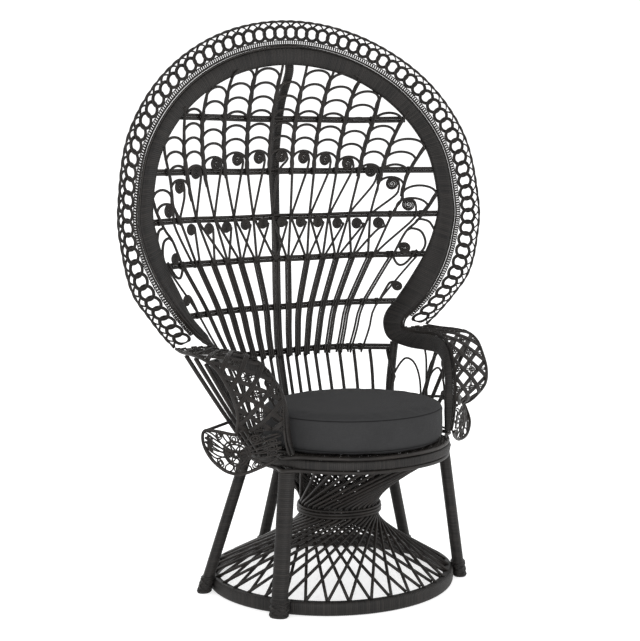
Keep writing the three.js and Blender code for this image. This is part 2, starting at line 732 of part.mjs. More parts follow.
// Smooth value between the entries of two matching lists.
function smoothBetween(x, xs, ys) {
  const last = xs.length - 1;
  let i = 0;
  while (i < last - 1 && x > xs[i + 1]) i += 1;
  const share = Math.min(Math.max((x - xs[i]) / (xs[i + 1] - xs[i]), 0), 1);
  const slope = (k) => {
    const a = Math.max(k - 1, 0);
    const b = Math.min(k + 1, last);
    return ((ys[b] - ys[a]) / (xs[b] - xs[a])) * (xs[i + 1] - xs[i]);
  };
  const s2 = share * share;
  const s3 = s2 * share;
  return (2 * s3 - 3 * s2 + 1) * ys[i] + (s3 - 2 * s2 + share) * slope(i)
    + (3 * s2 - 2 * s3) * ys[i + 1] + (s3 - s2) * slope(i + 1);
}

// Depth of the back surface: level in the middle, coming forward to the band at the sides.
function backSurface(x, z) {
  const middle = smoothBetween(z, surfaceHeights, surfaceMiddle);
  const side = smoothBetween(z, surfaceHeights, surfaceSide);
  const half = smoothBetween(z, surfaceHeights, surfaceHalf);
  const share = Math.min(Math.abs(x) / half, surfaceEndShare);
  return middle - (middle - side) * share ** 3;
}

// Wrapped band between its two edges, as rings of six points.
function bandRings(outerCurve, innerCurve, from, to, steps, thickness, grow) {
  return Array.from({ length: steps + 1 }, (_, i) => {
    const t = (from * (steps - i) + to * i) / steps;
    const outer = outerCurve.getPoint(t);
    const inner = innerCurve.getPoint(t);
    const ahead = outerCurve.getTangent(t).add(innerCurve.getTangent(t)).normalize();
    const across = outer.clone().sub(inner);
    const wide = across.clone().normalize();
    const thick = wide.clone().cross(ahead).normalize().multiplyScalar(thickness(t) / 2 + grow);
    const a = inner.clone().addScaledVector(wide, -grow);
    const b = outer.clone().addScaledVector(wide, grow);
    const span = b.clone().sub(a);
    const [near, far] = bandSectionShares;
    const at = (share, sign) => a.clone().addScaledVector(span, share).addScaledVector(thick, sign);
    return [a, at(near, 1), at(far, 1), b, at(far, -1), at(near, -1)];
  });
}

const outerCurve = curve(bandOuterEdge);
const innerCurve = curve(bandInnerEdge);

const neckShare = neckStation / (bandOuterEdge.length - 1);
const laceEndShare = (rimEdge.length - 1) / (bandOuterEdge.length - 1);
const rimCurve = curve(rimEdge);
const lobeCurve = curve(upperLobeEdge);

// Share of the band's length that a short length takes at the neck.
function neckSpan(length) {
  const step = 1 / 1000;
  const run = outerCurve.getPoint(neckShare + step).distanceTo(outerCurve.getPoint(neckShare));
  return (length / run) * step;
}

function fanBand(grow = 0) {
  const end = neckShare - neckSpan(clearance - grow);
  const thickness = () => fanBandThickness;
  const right = bandRings(outerCurve, innerCurve, end, 0, fanBandSteps, thickness, grow);
  const left = right.slice(0, -1).reverse().map((ring) => ring.map(
    (p) => new THREE.Vector3(-p.x, p.y, p.z),
  ));
  return solidOf(sweep([...right, ...left]));
}

function armBand(grow = 0) {
  const start = neckShare + neckSpan(clearance - grow);
  const thickness = () => armBandThickness;
  return solidOf(sweep(
    bandRings(outerCurve, innerCurve, start, 1, armBandSteps, thickness, grow),
  ));
}

// Direction away from the band's outer edge, toward the rim on the fan and across the band on an arm.
function outwardAt(t) {
  const outer = outerCurve.getPoint(t);
  const across = outer.clone().sub(innerCurve.getPoint(t)).normalize();
  if (t >= neckShare) return across;
  const toRim = rimCurve.getPoint(Math.min(t / laceEndShare, 1)).sub(outer).normalize();
  const share = Math.max((t - laceEndShare) / (neckShare - laceEndShare), 0);
  return toRim.lerp(across, share).normalize();
}

// Points of a strand that runs along the band's outer edge.
function besideBand(from, to, steps, offset) {
  return Array.from({ length: steps + 1 }, (_, i) => {
    const t = (from * (steps - i) + to * i) / steps;
    return outerCurve.getPoint(t).addScaledVector(outwardAt(t), offset);
  });
}

// Both halves of a path that starts on the middle plane, as one row of points.
function bothHalves(points) {
  const left = points.slice(1).reverse().map((p) => new THREE.Vector3(-p.x, p.y, p.z));
  return [...left, ...points];
}

const fanTrimOffset = trimRadius + 3 * clearance;
const armTrimOffset = armTrimRadius + 3 * clearance;
const fanTrimEnd = neckShare - neckSpan(2 * clearance);

function fanTrim(grow = 0) {
  const points = bothHalves(besideBand(0, fanTrimEnd, fanBandSteps, fanTrimOffset));
  return solidOf(tube(points, strandSection(trimRadius + grow), { first: back }));
}

function armTrim(grow = 0) {
  const points = besideBand(neckShare + neckSpan(2 * clearance), 1, armBandSteps, armTrimOffset);
  return solidOf(tube(points, strandSection(armTrimRadius + grow), { first: back }));
}

// Stations of the ring lace, one per pitch, evenly spaced along its middle line.
function laceStations() {
  const fine = 400;
  const middle = (t) => outerCurve.getPoint(t).add(rimCurve.getPoint(t / laceEndShare));
  const lengths = [0];
  for (let i = 1; i <= fine; i += 1) {
    const a = middle((laceEndShare * (i - 1)) / fine);
    const b = middle((laceEndShare * i) / fine);
    lengths.push(lengths[i - 1] + a.distanceTo(b));
  }
  const shares = lengths.map((_, i) => (laceEndShare * i) / fine);
  return Array.from({ length: lacePitches + 1 }, (_, i) => (
    between((lengths[fine] * i) / lacePitches, lengths, shares)
  ));
}

const stations = laceStations();

const rimRow = stations.filter((_, i) => i % 2 === 1 || i === 0)
  .map((t) => rimCurve.getPoint(t / laceEndShare));

// Point of the rim strand at a lace station; the strand has a corner at every second station.
function rimAt(station) {
  if (station <= 1) return rimRow[0].clone().lerp(rimRow[1], station);
  const k = Math.min(1 + Math.floor((station - 1) / 2), rimRow.length - 2);
  return rimRow[k].clone().lerp(rimRow[k + 1], (station + 1) / 2 - k);
}

function outerRim(grow = 0) {
  return solidOf(tube(bothHalves(rimRow), strandSection(rimRadius + grow), { first: back }));
}

// Nearest point to p on a row of points.
function nearestOn(points, p) {
  const line = new THREE.Line3();
  const best = new THREE.Vector3();
  const found = new THREE.Vector3();
  let least = Infinity;
  points.slice(1).forEach((end, i) => {
    line.set(points[i], end).closestPointToPoint(p, true, found);
    if (found.distanceTo(p) < least) {
      least = found.distanceTo(p);
      best.copy(found);
    }
  });
  return best;
}

// Moves a point that lies too close to a strand to its edge, on the side of another point.
function clearOf(points, reach, p, toward) {
  const nearest = nearestOn(points, p);
  if (nearest.distanceTo(p) >= reach) return p;
  const away = toward.clone().sub(nearest).normalize();
  return nearest.addScaledVector(away, reach);
}

// Slab made of cells with one hole each; place(u, v) gives the middle surface.
function perforated(columns, rows, hole, thickness, place) {
  const step = 1 / 500;
  const point = (u, v, side) => {
    const lowU = Math.max(u - step, 0);
    const lowV = Math.max(v - step, 0);
    const alongU = place(lowU + step, v).sub(place(lowU, v));
    const alongV = place(u, lowV + step).sub(place(u, lowV));
    const normal = alongU.cross(alongV).normalize();
    return place(u, v).addScaledVector(normal, (side * thickness) / 2);
  };
  const square = [[0, 0], [1, 0], [1, 1], [0, 1]];
  const flat = (list) => list.map(([u, v]) => new THREE.Vector2(u, v));
  const faces = THREE.ShapeUtils.triangulateShape(flat(square), [flat(hole)]);
  const corners = [...square, ...hole];
  const positions = [];
  const triangle = (...points) => points.forEach((p) => positions.push(p.x, p.y, p.z));
  for (let i = 0; i < columns; i += 1) {
    for (let j = 0; j < rows; j += 1) {
      const at = (k, side) => point((i + corners[k][0]) / columns, (j + corners[k][1]) / rows, side);
      faces.forEach(([a, b, c]) => {
        triangle(at(a, 1), at(b, 1), at(c, 1));
        triangle(at(a, -1), at(c, -1), at(b, -1));
      });
      const wall = (a, b) => {
        triangle(at(a, 1), at(a, -1), at(b, -1));
        triangle(at(a, 1), at(b, -1), at(b, 1));
      };
      hole.forEach((_, k) => wall(4 + ((k + 1) % hole.length), 4 + k));
      if (j === 0) wall(0, 1);
      if (i === columns - 1) wall(1, 2);
      if (j === rows - 1) wall(2, 3);
      if (i === 0) wall(3, 0);
    }
  }
  const loose = new THREE.BufferGeometry();
  loose.setAttribute("position", new THREE.Float32BufferAttribute(positions, 3));
  return outward(mergeVertices(loose, weldDistance));
}

function ringLace() {
  const columns = 2 * lacePitches;
  const inner = fanTrimOffset + trimRadius + 5 * clearance;
  const place = (u, v) => {
    const at = (u - 0.5) * columns;
    const t = between(Math.abs(at), stations.map((_, i) => i), stations);
    const rim = rimAt(Math.abs(at));
    const band = outerCurve.getPoint(t);
    const away = rim.clone().sub(band).normalize();
    const low = band.addScaledVector(away, inner);
    const high = rim.addScaledVector(away, -rimRadius - 3 * clearance);
    const p = low.lerp(high, v);
    if (at < 0) p.x = -p.x;
    return p;
  };
  return perforated(columns, 1, ringHoleShares, laceThickness, place);
}

const armRimRow = curve(armRimShares.map(placed)).getPoints(armRimSteps);
const armRimReach = armRimRadius + 1.5 * clearance;
const lowerRimReach = armRimRadius + laceSlack;

function upperLace() {
  const [columns, rows] = upperLobeCells;
  const last = (neckStation + upperLobeEdge.length - 1) / (bandOuterEdge.length - 1);
  const inner = armTrimOffset + armTrimRadius + laceSlack;
  const place = (u, v) => {
    const share = between(u, [0, 1], upperLobeShares);
    const t = neckShare + (last - neckShare) * share;
    const band = outerCurve.getPoint(t).addScaledVector(outwardAt(t), inner);
    const edge = clearOf(armRimRow, armRimReach, lobeCurve.getPoint(share), band);
    return band.lerp(edge, v);
  };
  return solidOf(perforated(columns, rows, diamondHoleShares, armLaceThickness, place));
}

function lowerLace() {
  const [columns, rows] = lowerLobeCells;
  const top = curve(lowerLobeTopShares.map(placed));
  const foot = curve(lowerLobeFootShares.map(placed));
  const place = (u, v) => {
    const share = between(u, [0, 1], lowerLobeShares);
    const low = foot.getPoint(share);
    const high = top.getPoint(share);
    const middle = low.clone().lerp(high, 0.5);
    return clearOf(armRimRow, lowerRimReach, low.lerp(high, v), middle);
  };
  return solidOf(perforated(columns, rows, diamondHoleShares, armLaceThickness, place));
}

function armRim(grow = 0) {
  return solidOf(tube(armRimRow, strandSection(armRimRadius + grow), { first: up }));
}

function rodBetween(from, to, radius, grow = 0, sides = 6) {
  const size = 2 * (radius + grow);
  return solidOf(tube([vector(from), vector(to)], ovalSection(size, size, sides), { first: back }));
}

// One family of hourglass canes on its waist hoop. The canes grow out of the hoop's upper and lower
// faces and keep their level section all the way.
function caneFamily(sense, hoopRadius, footRadius, headRadius, headHeight) {
  const columns = 2 * caneCount;
  const positions = [];
  const triangle = (...points) => points.forEach((p) => positions.push(p.x, p.y, p.z));
  const quad = (a, b, c, d) => {
    triangle(a, b, c);
    triangle(a, c, d);
  };
  const share = caneWidthShare;
  const cut = (i) => (Math.floor(i / 2) + (i % 2 ? share : 0)) / caneCount;
  const at = (i, r, z) => {
    const angle = cut(i) * 2 * Math.PI;
    return vector([r * Math.cos(angle), waistCentreY + r * Math.sin(angle), z]);
  };
  const inside = hoopRadius - hoopDepth;
  for (let i = 0; i < columns; i += 1) {
    const ring = (z) => [at(i, inside, z), at(i + 1, inside, z), at(i + 1, hoopRadius, z),
      at(i, hoopRadius, z)];
    const low = ring(waistLow);
    const high = ring(waistHigh);
    quad(low[3], low[2], high[2], high[3]);
    quad(low[1], low[0], high[0], high[1]);
    if (i % 2) {
      quad(high[0], high[3], high[2], high[1]);
      quad(low[0], low[1], low[2], low[3]);
    } else {
      const middle = (i / 2 + share / 2) / caneCount;
      const shift = (turn, radius, centreY, z) => {
        const angle = (middle + sense * turn) * 2 * Math.PI;
        const start = middle * 2 * Math.PI;
        const mean = (inside + hoopRadius) / 2;
        return new THREE.Vector3(
          radius * Math.cos(angle) - mean * Math.cos(start),
          centreY + radius * Math.sin(angle) - waistCentreY - mean * Math.sin(start),
          z,
        );
      };
      const rise = shift(upperTwistTurnShare, headRadius, seatCentreY, headHeight - waistHigh);
      const fall = shift(-lowerTwistTurnShare, footRadius, 0, baseHeight + clearance - waistLow);
      const head = high.map((p) => p.clone().add(rise));
      const foot = low.map((p) => p.clone().add(fall));
      for (let k = 0; k < 4; k += 1) {
        const n = (k + 1) % 4;
        quad(high[k], head[k], head[n], high[n]);
        quad(low[n], foot[n], foot[k], low[k]);
      }
      quad(head[0], head[3], head[2], head[1]);
      quad(foot[0], foot[1], foot[2], foot[3]);
    }
  }
  const loose = new THREE.BufferGeometry();
  loose.setAttribute("position", new THREE.Float32BufferAttribute(positions, 3));
  return outward(mergeVertices(loose, weldDistance));
}

function baseRing(grow = 0) {
  const inner = baseRadius - baseDepth - grow;
  const edge = baseRadius - baseRounding + grow;
  return hoop([
    [inner, -grow], [edge, -grow], [baseRadius + grow, baseHeight / 2],
    [edge, baseHeight + grow], [inner, baseHeight + grow],
  ], 0, hoopSegments);
}

function legSolid(foot, head, width, depth, grow = 0) {
  const a = vector(foot);
  const b = vector(head);
  const axis = b.clone().sub(a);
  const outwardDirection = new THREE.Vector3(a.x, a.y, 0).normalize();
  const side = up.clone().cross(outwardDirection);
  const level = (z, extra) => {
    const centre = a.clone().addScaledVector(axis, (z - a.z) / (b.z - a.z));
    return ovalSection(width + extra + 2 * grow, depth + extra + 2 * grow, legSides)
      .map(([s, n]) => centre.clone().addScaledVector(side, s).addScaledVector(outwardDirection, n));
  };
  return solidOf(sweep([
    level(a.z, collarExtra), level(a.z + collarHeight, collarExtra),
    level(a.z + collarHeight + collarExtra / 2, 0), level(b.z + grow, 0),
  ]));
}

function cushion() {
  const edgeTop = cushionHighSeam + cushionEdge;
  const profile = [
    [0, cushionBottom],
    [cushionFlatShare * cushionRadius, cushionBottom],
    [cushionRadius - cushionEdge, cushionLowSeam - cushionEdge],
    [cushionRadius, cushionLowSeam],
    [cushionRadius - cushionWaist, (cushionLowSeam + cushionHighSeam) / 2],
    [cushionRadius, cushionHighSeam],
    [cushionRadius - cushionEdge, edgeTop],
    ...cushionCrownShares.map(([r, h]) => [
      r * cushionRadius, edgeTop + h * (cushionTop - edgeTop),
    ]),
    [0, cushionTop],
  ];
  return turned(profile, cushionCentreY, cushionSides);
}

function seatBand(grow = 0) {
  const inner = seatInside - grow;
  const outer = seatRadius + grow;
  const middle = (seatRimLow + seatHeight) / 2;
  return hoop([
    [inner, seatRimLow - grow], [outer - seatRimRounding, seatRimLow - grow], [outer, middle],
    [outer - seatRimRounding, seatHeight + grow], [inner, seatHeight + grow],
  ], seatCentreY, hoopSegments);
}

function seatStrand(height, grow = 0) {
  const section = strandSection(seatStrandRadius + grow);
  return hoop(section.map(([a, b]) => [seatStrandRing + a, height + b]), seatCentreY, hoopSegments);
}

const upperStrandHeight = seatHeight + clearance + seatStrandRadius;
const lowerStrandHeight = seatRimLow - clearance - seatStrandRadius;

// Rail across the back, behind the canes.
function rail(index) {
  const z = railHeights[index];
  const reach = across(railReachShares[index]);
  const points = Array.from({ length: railSteps + 1 }, (_, i) => {
    const share = (2 * i) / railSteps - 1;
    const x = reach * Math.sign(share) * Math.abs(share) ** railStepPowerShare;
    const rise = backSurface(x, z + railTall / 2) - backSurface(x, z - railTall / 2);
    const slope = (backSurface(x + railDeep, z) - backSurface(x - railDeep, z)) / (2 * railDeep);
    const depth = railDeep * Math.hypot(1, slope);
    const gap = railGapShares[index] * railGap;
    const setback = (caneDepth + depth + Math.abs(rise)) / 2 + gap;
    return vector([x, backSurface(x, z) + setback, z]);
  });
  const section = railSectionShares.map(([a, b]) => [a * railDeep, b * railTall]);
  return solidOf(tube(points, section, { first: up }));
}

const spokePaths = spokeShares.map((path) => path.map(onBack));
const spokes = spokePaths.map((path) => path.slice().reverse());
const spokeX = (k, z) => between(z, spokes[k].map((p) => p[1]), spokes[k].map((p) => p[0]));

function arch(column, peak) {
  const archRise = archRiseShare * backHeight;
  const foot = peak - archRise;
  const right = spokeX(column, foot);
  const left = column === 0 ? -right : spokeX(column - 1, foot);
  const half = (right - left) / 2;
  return [180, 120, 60, 0].map((degrees) => {
    const angle = (degrees * Math.PI) / 180;
    return [left + half + half * Math.cos(angle), foot + archRise * Math.sin(angle)];
  });
}

const flipped = (path) => path.map(([u, v]) => [-u, v]);

function backLattice() {
  const both = [
    ...spokePaths, ...spokeEndShares.map((path) => path.map(onBack)),
    ...outerArchShares.map((path) => path.map(onBack)),
  ];
  const single = [...upperTailShares, ...crossingShares, ...lowerTailShares]
    .map((path) => path.map(onBack));
  archCounts.forEach((count, column) => {
    const curl = upperCurlShares[column][1];
    for (let i = 0; i < count; i += 1) {
      const path = arch(column, heightAt(curl + archFirstShare + i * archPitchShare));
      (column > 0 ? both : single).push(path);
    }
  });
  const curls = [
    ...upperCurlShares.map((c) => [onBack(c), upperCurlRadius]),
    ...lowerCurlShares.map((c) => [onBack(c), lowerCurlRadius]),
    [onBack(sideCurlShares), sideCurlRadius],
  ];
  const parts = [...both, ...both.map(flipped), ...single]
    .map((path) => stroke(path, caneWidth, caneDepth));
  curls.forEach(([c, r]) => {
    parts.push(disc(c, r, caneDepth));
    if (c[0] > 0) parts.push(disc([-c[0], c[1]], r, caneDepth));
  });
  return lattice(parts, caneDepth, (u, v, d) => (
    vector([u, backSurface(u, v) + caneDepth / 2 - d, v])
  ));
}

function caneBundles() {
  const parts = [];
  const both = (path, width) => {
    parts.push(stroke(path, width, caneDepth));
    parts.push(stroke(flipped(path), width, caneDepth));
  };
  const rows = bundleShares.map((xs) => xs.map(across));
  rows.forEach((xs, i) => (
    both(xs.map((x, k) => [x, bundleHeights[k]]), bundleWidthShares[i] * bundleWidth)
  ));
  const heights = bundleHeights.slice().reverse();
  const tieHeight = railHeights[railHeights.length - 1];
  const tied = rows.map((xs) => between(tieHeight, heights, xs.slice().reverse()));
  tied.forEach((x, i) => (
    both([[i ? tied[i - 1] : 0, tieHeight], [x, tieHeight]], bundleTieWidth)
  ));
  const [curlX, curlZ] = onBack(lowestCurlShares);
  parts.push(disc([curlX, curlZ], lowestCurlRadius, caneDepth));
  parts.push(disc([-curlX, curlZ], lowestCurlRadius, caneDepth));
  return lattice(parts, caneDepth, (u, v, d) => (
    vector([u, backSurface(u, v) + caneDepth / 2 - d, v])
  ));
}

function lowerBackCanes() {
  const parts = [];
  const feet = lowerCaneFootShares.map(across);
  feet.forEach((foot, i) => {
    const path = [[across(lowerCaneHeadShares[i]), lowerCaneTop], [foot, lowerCaneFoot]];
    parts.push(stroke(path, caneWidth, caneDepth));
    parts.push(stroke(flipped(path), caneWidth, caneDepth));
  });
  const ends = [...feet.map((x) => -x).reverse(), ...feet];
  ends.slice(1).forEach((x, i) => {
    parts.push(stroke([[ends[i], lowerCaneTie], [x, lowerCaneTie]], caneWidth, caneDepth));
  });
  return lattice(parts, caneDepth, (u, v, d) => {
    const share = (v - lowerCaneFoot) / (lowerCaneTop - lowerCaneFoot);
    const ring = seatCentreY + Math.sqrt(Math.max(seatStrandRing ** 2 - u ** 2, 0));
    const head = backSurface(u, lowerCaneTop) + lowerCaneSetback;
    return vector([u, ring + (head - ring) * share + caneDepth / 2 - d, v]);
  });
}

function sidePanel() {
  const flat = ([s, h]) => [s * panelLength, h * panelHeight];
  const parts = panelStrokeShares.map((path) => stroke(path.map(flat), panelCane, panelCane));
  panelCurlShares.forEach((c) => parts.push(disc(flat(c), panelCurlRadius, panelCane)));
  const [rearFootCorner, rearHeadCorner, frontFootCorner, frontHeadCorner] = [
    panelRearFootShares, panelRearHeadShares, panelFrontFootShares, panelFrontHeadShares,
  ].map((shares) => vector(placed(shares)));
  const surface = (u, v) => {
    const s = u / panelLength;
    const h = v / panelHeight;
    const foot = rearFootCorner.clone().lerp(frontFootCorner, s);
    const head = rearHeadCorner.clone().lerp(frontHeadCorner, s);
    const p = foot.lerp(head, h);
    p.x += 4 * s * (1 - s) * (panelFootBow + (panelHeadBow - panelFootBow) * h);
    return p;
  };
  return lattice(parts, panelCane, (u, v, d) => {
    const p = surface(u, v);
    const alongU = surface(u + clearance, v).sub(p);
    const normal = alongU.cross(surface(u, v + clearance).sub(p)).normalize();
    return p.addScaledVector(normal, d - panelCane / 2);
  });
}

function rearPost(grow = 0) {
  const size = 2 * (postRadius + grow);
  const points = curve(postShares.map(placed)).getPoints(5);
  return solidOf(tube(points, ovalSection(size, size, 7), { first: back }));
}

function rearPole(grow = 0) {
  const size = 2 * (poleRadius + grow);
  const path = poleHeightShares.map((share, i) => {
    const z = heightAt(share);
    return [0, backSurface(0, z) + poleSetbackShares[i] * poleSetback, z];
  });
  const foot = [0, rearHead[1], seatHeight + 2 * clearance];
  const points = curve([foot, ...path]).getPoints(14);
  return solidOf(tube(points, ovalSection(size, size, 6), { first: back }));
}

const group = new THREE.Group();
group.name = "peacock_chair";
const looks = {
  stain: { color: stainColour, roughness: 0.55, metalness: 0 },
  wrap: { color: wrapColour, roughness: 0.5, metalness: 0 },
  cloth: { color: clothColour, roughness: 0.95, metalness: 0 },
};

function add(name, geometry, look = "stain") {
  const shape = geometry.getMesh ? geometryOf(geometry) : geometry;
  const mesh = new THREE.Mesh(shape, new THREE.MeshStandardMaterial(looks[look]));
  mesh.name = name;
  group.add(mesh);
  return mesh;
}

// A piece of the right side and its mirror image on the left.
function addPair(name, solid, look = "stain") {
  const shape = solid.getMesh ? geometryOf(solid) : solid;
  add(`${name}_right`, shape, look);
  add(`${name}_left`, mirrored(shape), look);
}

const without = (solid, others) => others.reduce((left, other) => left.subtract(other), solid);

// Solids with the clearance added, for cutting what touches them.
const fanBandSpace = fanBand(clearance);
const armBandSpace = armBand(clearance);
const armBandSpaces = [armBandSpace, solidOf(mirrored(geometryOf(armBandSpace)))];
const armTrimSpace = armTrim(clearance);
const fanTrimSpace = fanTrim(clearance);
const armRimSpace = armRim(clearance);
const outerRimSpace = outerRim(clearance);
const postSpace = rearPost(clearance);
const postSpaces = [postSpace, solidOf(mirrored(geometryOf(postSpace)))];
const seatBandSpace = solidOf(seatBand(clearance));
const upperStrandSpace = solidOf(seatStrand(upperStrandHeight, clearance));
const lowerStrandSpace = solidOf(seatStrand(lowerStrandHeight, clearance));
const baseSpace = solidOf(baseRing(clearance));
const poleSpace = rearPole(clearance);
const rodSpaces = (k) => rodBetween(braceFeet[k], braceHeads[k], braceRadius, clearance);
const rearLegSpace = legSolid(rearFoot, rearHead, roundLegWidth, roundLegWidth, clearance);

add("base_ring", baseRing(), "wrap");
const waistBindingInner = (outerHoopRadius + clearance) / Math.cos(Math.PI / waistBindingSegments);
add("canes_outer", caneFamily(1, outerHoopRadius, outerFootRadius, outerHeadRadius,
  seatRimLow - clearance));
add("canes_inner", caneFamily(-1, innerHoopRadius, innerFootRadius, innerHeadRadius,
  seatHeight));
add("waist_binding", hoop([
  [waistBindingInner, waistLow + waistBindingInset],
  [outerHoopRadius + waistBindingWidth, waistLow + 2 * waistBindingInset],
  [outerHoopRadius + waistBindingWidth, waistHigh - 2 * waistBindingInset],
  [waistBindingInner, waistHigh - waistBindingInset],
], waistCentreY, waistBindingSegments), "wrap");
add("seat_rim", seatBand(), "wrap");
add("seat_strand_upper", seatStrand(upperStrandHeight));
add("seat_strand_lower", seatStrand(lowerStrandHeight));
add("seat_panel", turned([
  [0, seatPanelLow], [seatInside + seatPanelOverlap, seatPanelLow],
  [seatInside + seatPanelOverlap, seatPanelTop], [0, seatPanelTop],
], seatCentreY, hoopSegments));

addPair("leg_front", without(legSolid(frontFoot, frontHead, frontLegWidth, frontLegDepth), [
  baseSpace, lowerStrandSpace,
]), "wrap");
addPair("leg_side", without(legSolid(sideFoot, sideHead, roundLegWidth, roundLegWidth), [
  baseSpace, lowerStrandSpace,
]), "wrap");
add("leg_rear", without(legSolid(rearFoot, rearHead, roundLegWidth, roundLegWidth), [
  baseSpace, seatBandSpace, lowerStrandSpace,
]), "wrap");
add("rear_pole", without(rearPole(), [fanBandSpace, upperStrandSpace, rearLegSpace]), "wrap");

add("fan_band", fanBand(), "wrap");
addPair("arm_band", without(armBand(), [upperStrandSpace, seatBandSpace]), "wrap");
add("fan_trim", without(fanTrim(), [fanBandSpace]));
addPair("arm_trim", without(armTrim(), [armBandSpace, fanTrimSpace, upperStrandSpace,
  seatBandSpace]));
add("ring_lace", ringLace());
add("outer_rim", outerRim());
addPair("arm_rim", without(armRim(), [armTrimSpace, armBandSpace, outerRimSpace]));
addPair("upper_lace", without(upperLace(), [fanTrimSpace]));
addPair("lower_lace", without(lowerLace(), [armTrimSpace, armRimSpace, seatBandSpace,
  upperStrandSpace]));

railHeights.forEach((_, i) => add(`rail_${i + 1}`, without(rail(i), [fanBandSpace, poleSpace,
  ...armBandSpaces, ...postSpaces])));
add("back_lattice", without(solidOf(backLattice()), [fanBandSpace]));
add("cane_bundles", without(solidOf(caneBundles()), [fanBandSpace]));
add("lower_back_canes", without(solidOf(lowerBackCanes()), [upperStrandSpace, ...postSpaces]));
addPair("rear_post", without(rearPost(), [fanBandSpace, armBandSpace, upperStrandSpace,
  seatBandSpace]), "wrap");
addPair("side_panel", without(solidOf(sidePanel()), [postSpace, armBandSpace, armTrimSpace,
  upperStrandSpace, seatBandSpace]));
braceFeet.forEach((foot, k) => {
  addPair(`brace_${k + 1}`, without(rodBetween(foot, braceHeads[k], braceRadius), [seatBandSpace,
    armRimSpace, upperStrandSpace]));
});
const stay = rodBetween(placed(stayFootShares), placed(stayHeadShares), stayRadius, 0, 5);
addPair("lobe_stay", without(stay, [armRimSpace, rodSpaces(0), rodSpaces(1), rodSpaces(2)]));
add("cushion", cushion(), "cloth");

// Puts the origin under the middle of the outer box.
const box = new THREE.Box3().setFromObject(group);
group.children.forEach((mesh) => {
  mesh.geometry.translate(0, -(box.min.y + box.max.y) / 2, -box.min.z);
});

export default group;
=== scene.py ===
import itertools
import math

import bpy
import numpy as np
from mathutils import Matrix, Vector


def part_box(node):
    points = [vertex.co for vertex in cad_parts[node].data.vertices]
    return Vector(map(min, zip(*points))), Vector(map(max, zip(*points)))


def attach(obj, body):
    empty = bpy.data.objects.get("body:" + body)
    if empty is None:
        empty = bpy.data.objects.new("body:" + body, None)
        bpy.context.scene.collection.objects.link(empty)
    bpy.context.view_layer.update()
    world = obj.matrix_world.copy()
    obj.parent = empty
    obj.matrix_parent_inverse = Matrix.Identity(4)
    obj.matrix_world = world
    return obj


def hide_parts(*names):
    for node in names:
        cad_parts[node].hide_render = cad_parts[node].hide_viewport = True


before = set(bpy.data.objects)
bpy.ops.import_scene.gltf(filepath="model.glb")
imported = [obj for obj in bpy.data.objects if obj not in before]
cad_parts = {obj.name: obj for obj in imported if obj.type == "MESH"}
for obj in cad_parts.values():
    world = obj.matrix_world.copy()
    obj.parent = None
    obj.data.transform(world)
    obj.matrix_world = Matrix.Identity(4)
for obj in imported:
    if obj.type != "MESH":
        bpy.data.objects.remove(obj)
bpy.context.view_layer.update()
print("frame loaded,", len(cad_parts), "nodes")

# Lengths are millimetres until a mesh is made. Shares in lists are thousandths: across and in depth
# of the seat's opening, in height of the back above the seat.
main = dict(inside=250.0, seat=391.0, back=1000.0, ring=331.0)
inside, seat, back, ring = main.values()
seatCentreY, waistCentreY, cushionCentreY = -0.348 * inside, -0.168 * inside, -107.0
rearLegY = seatCentreY + 283.8
ringLow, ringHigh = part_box("base_ring")
shift = np.array([0, 500 * (ringLow.y + ringHigh.y), 0])
up = np.array([0.0, 0, 1])
bothSides = ((1, "right"), (-1, "left"))


def across(shares):
    return np.array(shares) / 1000 * inside


def heightAt(shares):
    return seat + np.array(shares) / 1000 * back


def placed(shares):
    return np.array(shares) / 1000 * [inside, inside, back] + [0, 0, seat]


def onBack(shares):
    return np.array(shares) / 1000 * [inside, back] + [0, seat]


def unit(v):
    return v / np.maximum(np.linalg.norm(v, axis=-1, keepdims=True), 1e-9)


def circle(count):
    return np.arange(count) / count * 2 * math.pi


def runOf(path):
    return np.concatenate([[0], np.cumsum(np.linalg.norm(np.diff(path, axis=0), axis=1))])


def curveAt(points, t):
    # uniform Catmull-Rom curve, the one that the solids follow
    points = np.asarray(points, float)
    ends = np.vstack([2 * points[0] - points[1], points, 2 * points[-1] - points[-2]])
    at = np.clip(np.asarray(t, float), 0, 1) * (len(points) - 1)
    k = np.minimum(at.astype(int), len(points) - 2)
    w = (at - k)[..., None]
    a, b, c, d = (ends[k + i] for i in range(4))
    m, n = (c - a) / 2, (d - b) / 2
    return b + m * w + (3 * (c - b) - 2 * m - n) * w ** 2 + (2 * (b - c) + m + n) * w ** 3


def edgeAt(points, t):
    # curve of the right half whose mirror image joins it smoothly at the top
    whole = np.vstack([points[1] * [-1, 1, 1], points])
    return curveAt(whole, (np.asarray(t, float) * (len(points) - 1) + 1) / len(points))


def smooth(points, count):
    return curveAt(points, np.linspace(0, 1, count))


def even(path, gap):
    # the same path with evenly spaced points
    run = runOf(path)
    at = np.linspace(0, run[-1], max(int(round(run[-1] / gap)), 1) + 1)
    return np.stack([np.interp(at, run, column) for column in np.transpose(path)], 1)


def smoothBetween(x, xs, ys):
    last = len(xs) - 1
    i = np.clip(np.searchsorted(xs, x) - 1, 0, last - 1)
    wide = xs[i + 1] - xs[i]
    s = np.clip((x - xs[i]) / wide, 0, 1)

    def slope(k):
        a, b = np.maximum(k - 1, 0), np.minimum(k + 1, last)
        return (ys[b] - ys[a]) / (xs[b] - xs[a]) * wide

    return ((2 * s ** 3 - 3 * s ** 2 + 1) * ys[i] + (s ** 3 - 2 * s ** 2 + s) * slope(i)
            + (3 * s ** 2 - 2 * s ** 3) * ys[i + 1] + (s ** 3 - s ** 2) * slope(i + 1))


